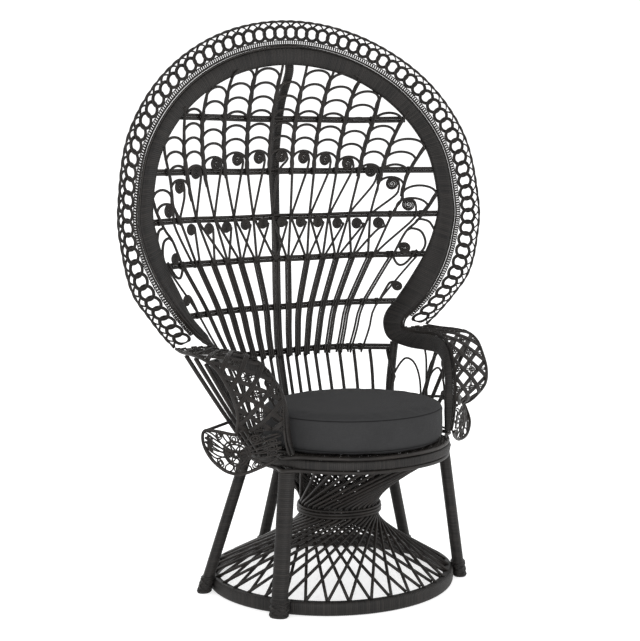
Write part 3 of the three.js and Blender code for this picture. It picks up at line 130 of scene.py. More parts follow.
# Shader maths: a socket that takes part in sums.
class Wire:
    def __init__(self, finish, socket):
        self.finish, self.socket = finish, socket

    def maths(self, operation, *others):
        return self.finish.maths(operation, self, *others)

    def __add__(self, other): return self.maths("ADD", other)
    def __radd__(self, other): return self.finish.maths("ADD", other, self)
    def __sub__(self, other): return self.maths("SUBTRACT", other)
    def __rsub__(self, other): return self.finish.maths("SUBTRACT", other, self)
    def __mul__(self, other): return self.maths("MULTIPLY", other)
    def __rmul__(self, other): return self.finish.maths("MULTIPLY", other, self)
    def __truediv__(self, other): return self.maths("DIVIDE", other)
    def __rtruediv__(self, other): return self.finish.maths("DIVIDE", other, self)


class Finish:
    def __init__(self, name, colour, roughness, **constants):
        self.material = bpy.data.materials.new(name)
        self.material.use_nodes = True
        self.tree = self.material.node_tree
        self.shader = self.tree.nodes["Principled BSDF"]
        self.material.diffuse_color = (*colour, 1)
        self.set("Base Color", (*colour, 1))
        self.set("Roughness", roughness)
        for key, value in constants.items():
            self.set(key.replace("_", " "), value)

    def feed(self, socket, value):
        if isinstance(value, Wire):
            self.tree.links.new(value.socket, socket)
        else:
            socket.default_value = value

    def set(self, name, value):
        self.feed(self.shader.inputs[name], value)

    def node(self, kind, settings, sockets, output=0):
        made = self.tree.nodes.new("ShaderNode" + kind)
        for key, value in settings.items():
            setattr(made, key, value)
        for key, value in sockets.items():
            self.feed(made.inputs[key], value)
        return Wire(self, made.outputs[output])

    def maths(self, operation, *values):
        return self.node("Math", {"operation": operation}, dict(enumerate(values)))

    def grain(self):
        return self.node("Attribute", {"attribute_name": "grain"}, {}, "Vector")

    def place(self):
        return self.node("TexCoord", {}, {}, "Object")

    def stretched(self, vector, scale):
        return self.node("VectorMath", {"operation": "MULTIPLY"}, {0: vector, 1: scale})

    def noise(self, vector, scale, detail=3, roughness=0.5):
        return self.node("TexNoise", {}, {"Vector": vector, "Scale": scale, "Detail": detail,
                                          "Roughness": roughness}, "Fac")

    def parts(self, vector):
        made = self.tree.nodes.new("ShaderNodeSeparateXYZ")
        self.tree.links.new(vector.socket, made.inputs[0])
        return [Wire(self, socket) for socket in made.outputs]

    def joined(self, x, y, z):
        return self.node("CombineXYZ", {}, {0: x, 1: y, 2: z})

    def between(self, share, low, high):
        # colour between two colours
        low, high = ((*c, 1) if isinstance(c, tuple) else c for c in (low, high))
        return self.node("Mix", {"data_type": "RGBA"}, {0: share, 6: low, 7: high}, 2)

    def spread(self, value, low, high):
        # value between low and high brought to 0 … 1
        return self.node("MapRange", {"clamp": True}, {0: value, 1: low, 2: high, 3: 0.0, 4: 1.0})

    def bump(self, height, strength, distance):
        self.set("Normal", self.node("Bump", {}, {"Height": height, "Strength": strength,
                                                  "Distance": distance}))


caneLook = dict(dark=(0.0062, 0.0056, 0.0053), light=(0.0225, 0.019, 0.0168),
                worn=(0.034, 0.028, 0.024), roughness=0.38, streaks=(420, 420, 16),
                fibre=(2600, 2600, 60))


def stainedCane(name, dark, light, worn, roughness, streaks, fibre):
    made = Finish(name, dark, roughness, Specular_IOR_Level=0.2)
    grain = made.grain()
    streaks = made.noise(made.stretched(grain, streaks), 1, 4, 0.6)
    fibre = made.noise(made.stretched(grain, fibre), 1, 2)
    place = made.place()
    patches = made.noise(place, 14, 2)
    rubbed = made.spread(made.noise(place, 90, 3), 0.56, 0.74)
    share = made.spread(streaks * 0.55 + fibre * 0.2 + patches * 0.35, 0.42, 0.74)
    base = made.between(share, dark, light)
    made.set("Base Color", made.between(rubbed * 0.5, base, worn))
    made.set("Roughness", roughness + 0.22 * fibre + rubbed * 0.14 - patches * 0.08)
    made.bump(streaks * 0.6 + fibre * 0.4, 0.5, 0.00035)
    return made.material


coreLook = dict(dark=(0.0058, 0.0054, 0.0052), light=(0.021, 0.0184, 0.0168),
                gapColour=(0.003, 0.0028, 0.0027), roughness=0.38, strip=0.005, fibre=(70, 70, 2300))


def wrappedCore(name, dark, light, gapColour, roughness, strip, fibre):
    made = Finish(name, dark, roughness, Specular_IOR_Level=0.2)
    grain = made.grain()
    along = made.parts(grain)[2] / strip
    number, within = along.maths("FLOOR"), along.maths("FRACT")
    gap = made.spread((within - 0.5).maths("ABSOLUTE"), 0.36, 0.5)
    tone = made.node("TexWhiteNoise", {"noise_dimensions": "1D"}, {"W": number}, "Value")
    fibre = made.noise(made.stretched(grain, fibre), 1, 3, 0.6)
    patches = made.noise(made.place(), 11, 2)
    share = made.spread(tone * 0.35 + fibre * 0.4 + patches * 0.4, 0.35, 0.9)
    made.set("Base Color", made.between(gap * 0.75, made.between(share, dark, light), gapColour))
    made.set("Roughness", roughness + fibre * 0.2 + tone * 0.1 + gap * 0.2 - patches * 0.08)
    made.bump(fibre * 0.35 + tone * 0.5 - gap * 1.4, 0.6, 0.00045)
    return made.material


clothLook = dict(dark=(0.021, 0.021, 0.0216), light=(0.039, 0.039, 0.04),
                 seamColour=(0.004, 0.004, 0.0042), thread=0.0013, radius=0.236, seams=(0.487, 0.411))
clothCentre = (cushionCentreY + shift[1]) / 1000


def cushionCloth(name, dark, light, seamColour, thread, radius, seams):
    made = Finish(name, dark, 0.93, Sheen_Weight=0.02, Sheen_Roughness=0.5, Specular_IOR_Level=0.03)
    place = made.place()
    x, y, z = made.parts(place)
    facing = made.parts(made.node("NewGeometry", {}, {}, "Normal"))[2].maths("ABSOLUTE")
    flat = made.spread(facing, 0.55, 0.75)
    around = (y - clothCentre).maths("ARCTAN2", x) * radius
    turn = math.pi / thread
    warp = flat * x + (1 - flat) * around
    weft = flat * y + (1 - flat) * z
    crossed = (warp * turn).maths("SINE") * (weft * turn).maths("SINE")
    slub = made.noise(made.joined(warp * 900, weft * 60, 0.0), 1, 2)
    slubAcross = made.noise(made.joined(warp * 60, weft * 900, 3.0), 1, 2)
    clouds = made.noise(place, 16, 3)
    share = made.spread(crossed * 0.22 + slub * 0.5 + slubAcross * 0.5 + clouds * 0.35, 0.3, 1.15)
    base = made.between(share, dark, light)
    high, low = (made.spread((z - seam).maths("ABSOLUTE"), 0.0018, 0.0006) * (1 - flat)
                 for seam in seams)
    seam = high + low
    made.set("Base Color", made.between(seam * 0.8, base, seamColour))
    made.set("Roughness", 0.84 + 0.14 * slub)
    made.bump(crossed * 0.5 + slub * 0.5 + slubAcross * 0.5 - seam, 0.45, 0.0004)
    return made.material


def paleFloor(name, low=(0.6, 0.6, 0.6), high=(0.63, 0.63, 0.63)):
    # lit from below like a light table, so that little shadow stays under the chair
    made = Finish(name, low, 0.7, Emission_Color=(1, 1, 1, 1), Emission_Strength=0.6)
    place = made.place()
    made.set("Base Color", made.between(made.noise(place, 2.5, 2), low, high))
    made.set("Roughness", 0.6 + 0.2 * made.noise(place, 40, 2))
    return made.material


cane = stainedCane("stained_cane_finish", **caneLook)
seatCane = stainedCane("seat_weave_finish", **{**caneLook, "light": (0.028, 0.024, 0.021)})
core = dict(finish=wrappedCore("wrapped_core_finish", **coreLook), slot="wrapped_core")
cloth = cushionCloth("cushion_cloth_finish", **clothLook)
print("finishes made")


# Bodies swept along a path. The corner attribute "grain" holds the place round the section and
# along the path, so that streaks and wraps follow each cane. Each body starts further along.
grainStarts = itertools.count(370, 370)
winding = dict(pitch=5.0, steps=[0, 0.2, 0.5, 0.8], lifts=[-0.32, 0.032, 0.112, 0.032])


def sweep(rings, along, around, closed=False):
    count, size = rings.shape[:2]
    spans = count if closed else count - 1
    i, j = np.arange(spans)[:, None], np.arange(size)[None, :]
    after, beside = (i + 1) % count, (j + 1) % size
    quads = np.stack([i * size + j, after * size + j, after * size + beside, i * size + beside], -1)
    corner = np.zeros((spans, size, 4, 3))
    corner[..., 0, :2] = corner[..., 1, :2] = around
    corner[..., 2, :2] = corner[..., 3, :2] = around[beside[0]]
    corner[..., 0, 2] = corner[..., 3, 2] = along[:spans, None]
    corner[..., 1, 2] = corner[..., 2, 2] = along[1:spans + 1, None]
    points, caps, capGrain = rings.reshape(-1, 3), np.zeros((0, 3), int), np.zeros((0, 3, 3))
    if not closed:
        points = np.vstack([points, rings[0].mean(0), rings[-1].mean(0)])
        row, last = np.arange(size), (count - 1) * size
        first = np.stack([row * 0 + count * size, row, beside[0]], 1)
        final = np.stack([row * 0 + count * size + 1, last + beside[0], last + row], 1)
        caps = np.vstack([first, final])
        capGrain = np.zeros((2 * size, 3, 3))
        capGrain[:, 1:, :2] = np.concatenate([around, around[beside[0]]])[:, None]
        capGrain[:size, :, 2], capGrain[size:, :, 2] = along[0], along[-1]
    quads, corner = quads.reshape(-1, 4), corner.reshape(-1, 4, 3)
    a, b, c, d = (points[quads[:, k]] for k in range(4))
    if (a * (np.cross(b, c) + np.cross(c, d))).sum() < 0:  # turned inside out
        quads, corner, caps, capGrain = (v[:, ::-1] for v in (quads, corner, caps, capGrain))
    return dict(points=points, quads=quads, corner=corner, caps=caps, capGrain=capGrain)


def framesOf(path, closed, first):
    after = np.vstack([path[1:], path[:1] if closed else path[-1:]])
    before = np.vstack([path[-1:] if closed else path[:1], path[:-1]])
    tangents = unit(after - before)
    normal, normals = np.array(first, float), []
    if abs(tangents[0] @ normal) > 0.95:
        normal = np.roll(normal, 1)
    for tangent in tangents:
        normal = normal - tangent * (normal @ tangent)
        normal = normal / np.linalg.norm(normal)
        normals.append(normal)
    return np.cross(tangents, normals), np.array(normals)


def tube(path, radius, sides=8, closed=False, first=(0, 0, 1), flat=1.0):
    path = np.asarray(path, float)
    side, normal = framesOf(path, closed, first)
    angle = circle(sides)
    radius = np.broadcast_to(radius, len(path))[:, None, None]
    rings = (path[:, None] + side[:, None] * np.cos(angle)[:, None] * radius
             + normal[:, None] * np.sin(angle)[:, None] * radius * flat)
    around = np.stack([np.cos(angle), np.sin(angle) * flat], 1) * radius.mean()
    run = runOf(np.vstack([path, path[:1]]) if closed else path) + next(grainStarts)
    return sweep(rings, run, around, closed)


def wrapped(centres, wides, thicks, halfWide, halfThick, closed=False, sides=16, roundness=1.0):
    # a core with flat strips wound round it, one ridge per strip
    run = runOf(np.vstack([centres, centres[:1]]) if closed else centres)
    strips = max(int(round(run[-1] / winding["pitch"])), 1)
    place = (np.arange(strips)[:, None] + winding["steps"]).ravel()
    lift = np.tile(winding["lifts"], strips)
    if not closed:
        place, lift = np.append(place, strips), np.append(lift, lift[0])
    at = place / strips * run[-1]

    def sampled(values, columns=3):
        values = np.broadcast_to(np.reshape(values, (-1, columns)), (len(centres), columns))
        values = np.vstack([values, values[:1]]) if closed else values
        return np.stack([np.interp(at, run, column) for column in values.T], -1)[:, None]

    angle = (np.arange(sides) + 0.5) / sides * 2 * math.pi
    c, s = (np.sign(v) * np.abs(v) ** roundness for v in (np.cos(angle), np.sin(angle)))
    wide, thick = (sampled(half, 1) + lift[:, None, None] for half in (halfWide, halfThick))
    rings = (sampled(centres) + sampled(wides) * c[:, None] * wide
             + sampled(thicks) * s[:, None] * thick)
    around = np.stack([c * wide.mean(), s * thick.mean()], 1)
    along = (np.append(place, strips) if closed else place) * winding["pitch"] + next(grainStarts)
    return sweep(rings, along, around, closed)


def roundWrap(path, radius):
    path = even(path, 6)
    return wrapped(path, *framesOf(path, False, (0, 1, 0)), radius, radius, sides=14)


def ringPath(radius, centreY, z, count):
    angle = circle(count)
    return np.stack([radius * np.cos(angle), centreY + radius * np.sin(angle), z + 0 * angle], 1)


def added(name, data):
    made = bpy.data.objects.new(name, data)
    bpy.context.scene.collection.objects.link(made)
    return made


def piece(name, parts, *nodes, finish=cane, slot="stained_cane", body="chair"):
    counts = np.cumsum([0] + [len(p["points"]) for p in parts])
    points = np.concatenate([p["points"] for p in parts])
    quads, caps = (np.concatenate([p[key] + n for p, n in zip(parts, counts)])
                   for key in ("quads", "caps"))
    mesh = bpy.data.meshes.new(name)
    mesh.from_pydata(((points + shift) / 1000).tolist(), [], quads.tolist() + caps.tolist())
    grain = np.concatenate([p[key].reshape(-1, 3) for key in ("corner", "capGrain") for p in parts])
    grain = grain / 1000
    mesh.attributes.new("grain", "FLOAT_VECTOR", "CORNER").data.foreach_set("vector", grain.ravel())
    mesh.polygons.foreach_set("use_smooth", np.arange(len(quads) + len(caps)) < len(quads))
    mesh.materials.append(finish)
    mesh.update()
    made = added(name, mesh)
    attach(made, body)
    if nodes:
        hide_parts(*nodes)
    print(name, len(mesh.polygons), "faces")
    return made


# Floor ring
floorRing = dict(depth=26.0, height=36.0, roundness=0.55)


def floorRingParts(depth, height, roundness):
    path = ringPath(ring - depth / 2, 0, height / 2, 480)
    return [wrapped(path, unit(path * [1, 1, 0]), up, depth / 2 - 0.2, height / 2 - 0.2, True, 20,
                    roundness)]


piece("floor_ring_wrap", floorRingParts(**floorRing), "base_ring", **core)

# Hourglass canes. Each family has its sense of twist, its radius at the waist, the foot and the
# head, and the height of its head.
hourglass = dict(count=36, caneShare=0.62, waistLow=195.5, waistHigh=223.5, hoopDepth=6.0,
                 lowerTurn=0.194, upperTurn=0.175, radius=4.1)
families = dict(outer=(1, 105, 318.5, 249, 369), inner=(-1, 88, 308.5, 229, 390))


def caneFamily(sense, hoop, foot, head, headZ, count, caneShare, waistLow, waistHigh, hoopDepth,
               lowerTurn, upperTurn, radius):
    parts = []
    waist = hoop - hoopDepth / 2
    for i in range(count):
        middle = (i + caneShare / 2) / count * 2 * math.pi

        def at(turn, radius, centreY, z):
            angle = middle + sense * turn * 2 * math.pi
            return np.array([radius * math.cos(angle), centreY + radius * math.sin(angle), z])

        low, high = at(-lowerTurn, foot, 0, 35.0), at(upperTurn, head, seatCentreY, headZ)
        a, b = at(0, waist, waistCentreY, waistLow), at(0, waist, waistCentreY, waistHigh)
        toLow, toHigh = unit(low - a), unit(high - b)
        bend = smooth([a + toLow * 16, a + toLow * 5 + (b - a) * 0.04, a * 0.72 + b * 0.28,
                       a * 0.28 + b * 0.72, b + toHigh * 5 - (b - a) * 0.04, b + toHigh * 16], 16)
        path = np.vstack([smooth([low, low * 0.5 + bend[0] * 0.5, bend[0]], 8)[:-1], bend,
                          smooth([bend[-1], high * 0.5 + bend[-1] * 0.5, high], 8)[1:]])
        parts.append(tube(path, radius, 9))
    return parts


for name, family in families.items():
    piece("hourglass_canes_" + name, caneFamily(*family, **hourglass), "canes_" + name)

waistBinding = dict(radius=109.4, strands=[(4.0, 201.8), (4.0, 209.6), (3.0, 217.5)])


def waistParts(radius, strands):
    parts = []
    for k, (strand, z) in enumerate(strands):
        path = ringPath(radius + 0.4 * (k % 2), waistCentreY, z, 96)
        path[:, 2] += 0.5 * np.sin(3 * circle(96) + k)
        parts.append(tube(path, strand, 12, True))
    return parts


piece("waist_hoop_binding", waistParts(**waistBinding), "waist_binding", slot="wrapped_core")

# Seat rim, strands and woven seat
seatRim = dict(depth=18.0, low=368.0)
seatStrand = dict(radius=5.0, ringRadius=261.0, corner=22.0, cornerAt=(252.0, -175.0), spread=17.0)
weave = dict(radius=252.0, pitch=12.5, halfWidth=5.4, halfThick=1.2, wave=1.9, z=395.6)


def seatRimParts(depth, low):
    path = ringPath(inside + depth / 2, seatCentreY, (seat + low) / 2, 420)
    away = unit((path - [0, seatCentreY, 0]) * [1, 1, 0])
    return [wrapped(path, away, up, depth / 2, (seat - low) / 2, True, 16, 0.6)]


def seatStrandParts(radius, ringRadius, corner, cornerAt, spread):
    # the strands swing out round the two front legs
    angle, reach = circle(300), ringRadius
    for sign in (1, -1):
        leg = math.atan2(cornerAt[1] - seatCentreY, cornerAt[0] * sign)
        away = np.angle(np.exp(1j * (angle - leg))) * ringRadius
        reach = reach + corner * np.exp(-(away / spread) ** 2 / 2)
    return [tube(np.stack([reach * np.cos(angle), seatCentreY + reach * np.sin(angle),
                           z + 0.6 * np.sin(angle * 7)], 1), radius, 10, True)
            for z in (seat + radius + 0.3, seatRim["low"] - radius - 0.3)]


def seatWeaveParts(radius, pitch, halfWidth, halfThick, wave, z):
    parts = []
    count = int(radius / pitch)
    for crosswise in (0, 1):
        for k in range(-count, count + 1):
            offset = k * pitch
            reach = math.sqrt(max(radius ** 2 - offset ** 2, 0))
            if reach < pitch:
                continue
            run = np.arange(-reach, reach + 0.1, pitch / 3)
            height = z + wave * np.cos(run / pitch * math.pi + (k + crosswise) * math.pi)
            flat = [run, run * 0 + offset] if crosswise else [run * 0 + offset, run]
            path = np.stack([*flat, height], 1) + [0, seatCentreY, 0]
            parts.append(tube(path, halfWidth, 6, flat=halfThick / halfWidth))
    return parts


piece("seat_rim_wrap", seatRimParts(**seatRim), "seat_rim", **core)
piece("seat_rim_strands", seatStrandParts(**seatStrand), "seat_strand_upper", "seat_strand_lower")
piece("seat_weave", seatWeaveParts(**weave), "seat_panel", finish=seatCane)

# Legs: the foot is in shares of the floor ring, the head in shares of the seat's opening
legs = dict(front=dict(foot=(0.888, -0.58), head=(1.008, -0.7), wide=43.0, deep=31.0),
            side=dict(foot=(1.03, 0.293), head=(0.916, 0.216), wide=31.0, deep=31.0))
legTop, rearFoot, rearThick = 357.1, 1.063, 31.0
collar = dict(tall=42.0, out=1.65, strip=2.3, stripOut=2.1, hoop=2.2, hoopOut=2.4)


def legParts(foot, head, wide, deep):
    foot, head = np.array(foot, float), np.array(head, float)
    away = unit(foot * [1, 1, 0])
    side = np.cross(up, away)

    def around(angle, height, out):
        middle = foot + (head - foot) * (height / head[2] + 0 * angle)[:, None]
        return (middle + side * (np.cos(angle) * (wide / 2 + out))[:, None]
                + away * (np.sin(angle) * (deep / 2 + out))[:, None])

    z = np.linspace(0, head[2], 90)
    centres = foot + (head - foot) * (z / head[2])[:, None] + [0, 0, 0.2]
    out = collar["out"] * np.clip((collar["tall"] + 3 - z) / 5, 0, 1)
    parts = [wrapped(centres, side, away, wide / 2 + out, deep / 2 + out, sides=20, roundness=0.9)]
    t = np.linspace(0, 1, 26)
    for sense in (1, -1):  # crossed strips bind the foot
        for start in (0, 0.25, 0.5, 0.75):
            path = around(sense * (t * 0.5 + start) * 2 * math.pi, 5 + (collar["tall"] - 9) * t,
                          collar["stripOut"])
            parts.append(tube(path, collar["strip"], 6, first=away))
    for height in (4.5, collar["tall"] - 2):
        parts.append(tube(around(circle(28), height, collar["hoopOut"]), collar["hoop"], 6, True))
    return parts


for kind, look in legs.items():
    (footX, footY), (headX, headY) = look["foot"], look["head"]
    for sign, side in bothSides:
        foot = (sign * footX * ring, footY * ring, 0)
        head = (sign * headX * inside, headY * inside, legTop)
        piece("leg_wrap_" + kind + "_" + side, legParts(foot, head, look["wide"], look["deep"]),
              "leg_" + kind + "_" + side, **core)
rearLeg = legParts((0, rearFoot * ring, 0), (0, rearLegY, seat), rearThick, rearThick)
piece("leg_wrap_rear", rearLeg, "leg_rear", **core)

# Back surface that all the canes of the back lie on
surface = dict(
    heights=[4, 109, 191, 259, 309, 369, 449, 543, 621, 707, 769, 845, 923, 994],
    middle=[688, 760, 836, 868, 872, 872, 872, 872, 872, 868, 848, 784, 680, 556],
    side=[80, 280, 392, 552, 604, 528, 472, 408, 400, 400, 428, 464, 504, 568],
    half=[1048, 1088, 1112, 1152, 1268, 1456, 1660, 1804, 1852, 1800, 1696, 1456, 1080, 240],
    end=1.25)
surfaceHeights = heightAt(surface["heights"])


def backDepth(x, z):
    middle, side, half = (smoothBetween(z, surfaceHeights, across(surface[key]))
                          for key in ("middle", "side", "half"))
    return middle - (middle - side) * np.minimum(np.abs(x) / half, surface["end"]) ** 3


def onSurface(flat, lift=0.0):
    # points of the back at [x, z], brought forward by lift
    x, z = np.transpose(flat)
    return np.stack([x, backDepth(x, z) - lift, z], 1)


# Rear pole and rear arm posts
pole = dict(radius=12.0, heights=[89, 207, 349, 509, 669, 759, 850, 909, 969, 997],
            setbacks=[29.1, 28.5, 29.4, 30, 30, 30, 30, 30, 21, 28.5])
post = dict(radius=12.0, shares=[[952, 124, 5], [1016, 244, 90], [1140, 356, 169], [1196, 388, 221]])


def poleParts(radius, heights, setbacks):
    z = heightAt(heights)
    path = np.stack([z * 0, backDepth(z * 0, z) + setbacks, z], 1)
    return [roundWrap(smooth(np.vstack([[0, rearLegY, seat + 0.6], path]), 120), radius)]


piece("rear_pole_wrap", poleParts(**pole), "rear_pole", **core)
for sign, side in bothSides:
    postPath = smooth(placed(post["shares"]) * [sign, 1, 1], 40)
    piece("rear_post_wrap_" + side, [roundWrap(postPath, post["radius"])], "rear_post_" + side, **core)

# Wrapped band: edges at matching stations, from the top of the fan to the foot of the arm column
band = dict(
    outer=[
        [0, 548, 1036], [776, 520, 1003], [1436, 448, 912], [1880, 372, 774], [2032, 340, 612],
        [1996, 336, 527], [1876, 316, 448], [1672, 316, 370], [1476, 364, 317], [1340, 400, 287],
        [1268, 352, 265], [1252, 232, 254], [1276, 24, 252], [1284, -188, 252], [1248, -396, 247],
        [1188, -560, 230], [1132, -688, 196], [1092, -760, 156], [1080, -776, 109],
        [1068, -776, 68], [1044, -780, 35], [1012, -788, 12]],
    inner=[
        [0, 568, 991], [708, 544, 963], [1308, 492, 882], [1712, 432, 763], [1852, 400, 621],
        [1804, 408, 543], [1696, 448, 471], [1532, 508, 400], [1380, 580, 339], [1248, 608, 301],
        [1152, 536, 266], [1124, 392, 231], [1200, 160, 212], [1232, -140, 209], [1208, -336, 208],
        [1144, -488, 201], [1080, -616, 183], [1036, -692, 151], [1012, -720, 109],
        [996, -728, 68], [984, -748, 35], [968, -768, 12]],
    rim=[
        [0, 520, 1105], [888, 480, 1068], [1648, 372, 963], [2144, 276, 807], [2316, 220, 621],
        [2288, 212, 509], [2184, 228, 414], [1992, 268, 350], [1800, 328, 297], [1656, 372, 264]],
    fanHalf=11.0, armHalf=7.0, roundness=0.72)
outerEdge, innerEdge, rimEdge = (placed(band[key]) for key in ("outer", "inner", "rim"))
laceEnd, neck, armEnd = 9 / 21, 10 / 21, 19 / 21


def signed(points, t):
    points = np.array(points)
    points[:, 0] *= np.where(t < 0, -1, 1)
    return points


def outerAt(t):
    return edgeAt(outerEdge, np.abs(t))


def innerAt(t):
    return edgeAt(innerEdge, np.abs(t))


def rimAt(t):
    return edgeAt(rimEdge, np.minimum(np.abs(t) / laceEnd, 1))


def outwardAt(t):
    toSide, toRim = unit(outerAt(t) - innerAt(t)), unit(rimAt(t) - outerAt(t))
    t = np.abs(t)[:, None]
    share = np.clip((t - laceEnd) / (neck - laceEnd), 0, 1)
    return np.where(t >= neck, toSide, unit(toRim * (1 - share) + toSide * share))


def bandPart(t, half):
    outer, inner = signed(outerAt(t), t), signed(innerAt(t), t)
    centres, wides = (outer + inner) / 2, unit(outer - inner)
    thicks = unit(np.cross(wides, unit(np.gradient(centres, axis=0))))
    # thinner where the arm's band takes over
    share = np.clip((np.abs(t) - neck + 0.02) / 0.02, 0, 1)
    half = half - (half - band["armHalf"]) * share ** 2 * (3 - 2 * share)
    return wrapped(centres, wides, thicks, np.linalg.norm(outer - inner, axis=1) / 2, half, sides=22,
                   roundness=band["roundness"])


def beside(t, offset, lift=0.0):
    out, along = outwardAt(t), unit(np.gradient(outerAt(t), axis=0))
    return signed(outerAt(t) + out * offset + np.cross(out, along) * lift, t)


fanT, armT = np.linspace(-neck, neck, 600), np.linspace(neck - 0.001, 1, 260)
piece("fan_band_wrap", [bandPart(fanT, band["fanHalf"])], "fan_band", **core)
for sign, side in bothSides:
    piece("arm_band_wrap_" + side, [bandPart(sign * armT, band["armHalf"])], "arm_band_" + side, **core)

# Strands beside the band: distance from it, radius and lift of each
trim = dict(fan=((2.9, 3.0, 3.2), (8.5, 2.8, 0.0)), arm=((2.7, 2.7, 2.2), (7.6, 2.5, 0.0)))


def trimParts(t, look):
    return [tube(even(beside(t, offset, lift), 9), radius, 8, first=(0, 1, 0))
            for offset, radius, lift in look]


piece("fan_edge_strands", trimParts(fanT, trim["fan"]), "fan_trim")
for sign, side in bothSides:
    piece("arm_edge_strands_" + side, trimParts(sign * armT, trim["arm"]), "arm_trim_" + side)

# Ring lace of the fan. Each ring is wound from turns with a half width, a half height and a lift.
lace = dict(pitches=35, centre=0.57, strand=2.1, tilt=1.8, coil=4.1, coilAt=16.4, coilPitch=7.4,
            coilStrand=1.6, waveFoot=0.83, waveTop=0.975, waveStrand=1.9,
            turns=((22.4, 0.272, 0.0), (19.2, 0.24, 1.4), (16.2, 0.208, -0.6)))
rope = dict(radius=2.3, offset=1.5, pitch=62.0)
pitches = lace["pitches"]


def bothEdges(t):
    return signed(outerAt(t) + rimAt(t), t)


laceT = np.linspace(0, laceEnd, 401)
laceRun = runOf(bothEdges(laceT))
stations = np.interp(np.linspace(0, laceRun[-1], pitches + 1), laceRun, laceT)
pitch = np.linalg.norm(np.diff(bothEdges(stations), axis=0), axis=1).mean() / 2


def laceAt(u, v, lift=0.0):
    # u in pitches from the top, v from the band's edge to the rim, lift along the normal
    t = np.interp(np.abs(u), np.arange(pitches + 1), stations)
    near, far = outerAt(t), rimAt(t)
    normal = unit(np.cross(far - near, bothEdges(t + 0.002) - bothEdges(t - 0.002)))
    points = near + (far - near) * v[:, None] + normal * (lift + 0 * u)[:, None]
    return signed(points, u), np.linalg.norm(far - near, axis=1)


def ringLaceParts(pitches, centre, strand, tilt, coil, coilAt, coilPitch, coilStrand, waveFoot,
                  waveTop, waveStrand, turns):
    parts = []

    def add(u, v, lift, radius, sides=6, closed=False):
        parts.append(tube(laceAt(u, v, lift)[0], radius, sides, closed, first=(0, 1, 0)))

    turn = circle(30)
    middles = np.arange(pitches) + 0.5
    for middle in np.concatenate([-middles[::-1], middles]):
        for wide, high, lift in turns:
            u = np.clip(middle + wide / pitch * np.cos(turn), -pitches, pitches)
            add(u, centre + high * np.sin(turn), lift + tilt * np.cos(turn), strand, 7, True)
    # a strand coiled along the band fills the space below the rings
    loops = int(2 * pitches * pitch / coilPitch)
    at = np.linspace(0, loops, loops * 9 + 1)
    turn = at * 2 * math.pi
    u = -pitches + 0.4 + at / loops * (2 * pitches - 0.8) + coil * 0.8 / pitch * np.sin(turn)
    add(u, (coilAt + coil * np.cos(turn)) / laceAt(u, 0 * u)[1], 0.6 + np.sin(turn), coilStrand)
    # strands that wave between the rings' tops and the rim
    u = np.linspace(-pitches, pitches, pitches * 32 + 1)
    for share, lift, foot in ((1.3, -1.2, waveFoot), (0.8, 1.2, waveFoot - 0.02)):
        add(u, foot + (waveTop - foot) * np.abs(np.cos(math.pi * u)) ** share, lift, waveStrand)
    return parts


def ropeParts(radius, offset, pitch):
    # two strands laid round each other
    u = np.linspace(-pitches, pitches, 500)
    path = even(laceAt(u, 0 * u + 1)[0], 4)
    side, normal = framesOf(path, False, (0, 1, 0))
    run, parts = runOf(path), []
    for start in (0, 0.5):
        angle = (run / pitch + start)[:, None] * 2 * math.pi
        strand = path + offset * (side * np.cos(angle) + normal * np.sin(angle))
        parts.append(tube(strand, radius, 7, first=(0, 1, 0)))
    return parts


piece("ring_lace_rings", ringLaceParts(**lace), "ring_lace")
piece("rim_rope", ropeParts(**rope), "outer_rim")

# Arm rims and lace lobes
armRim = dict(radius=4.2, shares=[
    [1652, 336, 261], [1688, 160, 258], [1708, -80, 258], [1708, -300, 253], [1680, -480, 236],
    [1644, -616, 202], [1616, -708, 164], [1580, -724, 124], [1524, -612, 85], [1484, -504, 67],
    [1576, -336, 71], [1660, -212, 70], [1700, -264, 41], [1668, -372, 5], [1552, -456, -25],
    [1400, -508, -33], [1248, -608, -17], [1124, -728, 5]])
upperLobe = dict(
    columns=8, rows=2, strand=2.5, thin=1.6, star=1.7, gap=0.095, start=9.0, low=0.03, high=0.97,
    edge=[
        [1648, 336, 261], [1668, 248, 259], [1696, 60, 258], [1708, -152, 258], [1700, -368, 250],
        [1664, -544, 222], [1632, -656, 187], [1600, -720, 149], [1556, -684, 105],
        [1488, -512, 68]])
lowerLobe = dict(
    knot=2.5, pair=2.1, curl=1.9,
    top=[[1088, -812, 70], [1288, -660, 68], [1484, -504, 67], [1576, -336, 71], [1660, -212, 70]],
    foot=[[1072, -812, 21], [1248, -608, -15], [1424, -496, -33], [1608, -420, -12],
          [1696, -288, 34]])


def upperEdges(u, ahead):
    share = upperLobe["low"] + (upperLobe["high"] - upperLobe["low"]) * u + ahead
    t = neck + (armEnd - neck) * share
    return outerAt(t) + outwardAt(t) * upperLobe["start"], curveAt(placed(upperLobe["edge"]), share)


def lowerEdges(u, ahead):
    return curveAt(placed(lowerLobe["foot"]), u + ahead), curveAt(placed(lowerLobe["top"]), u + ahead)


def lobeTube(edges, step, sign, u, v, lift, radius, closed=False):
    # a strand at u along a lobe's two edges and v between them
    u, v = np.clip(u, 0, 1), np.clip(v, 0, 1)[:, None]
    (near, far), (nearNext, farNext) = edges(u, 0), edges(u, step)
    normal = unit(np.cross(nearNext + farNext - near - far, far - near))
    path = near * (1 - v) + far * v + normal * lift
    return tube(path * [sign, 1, 1], radius, 7, closed, first=(1, 0, 0))


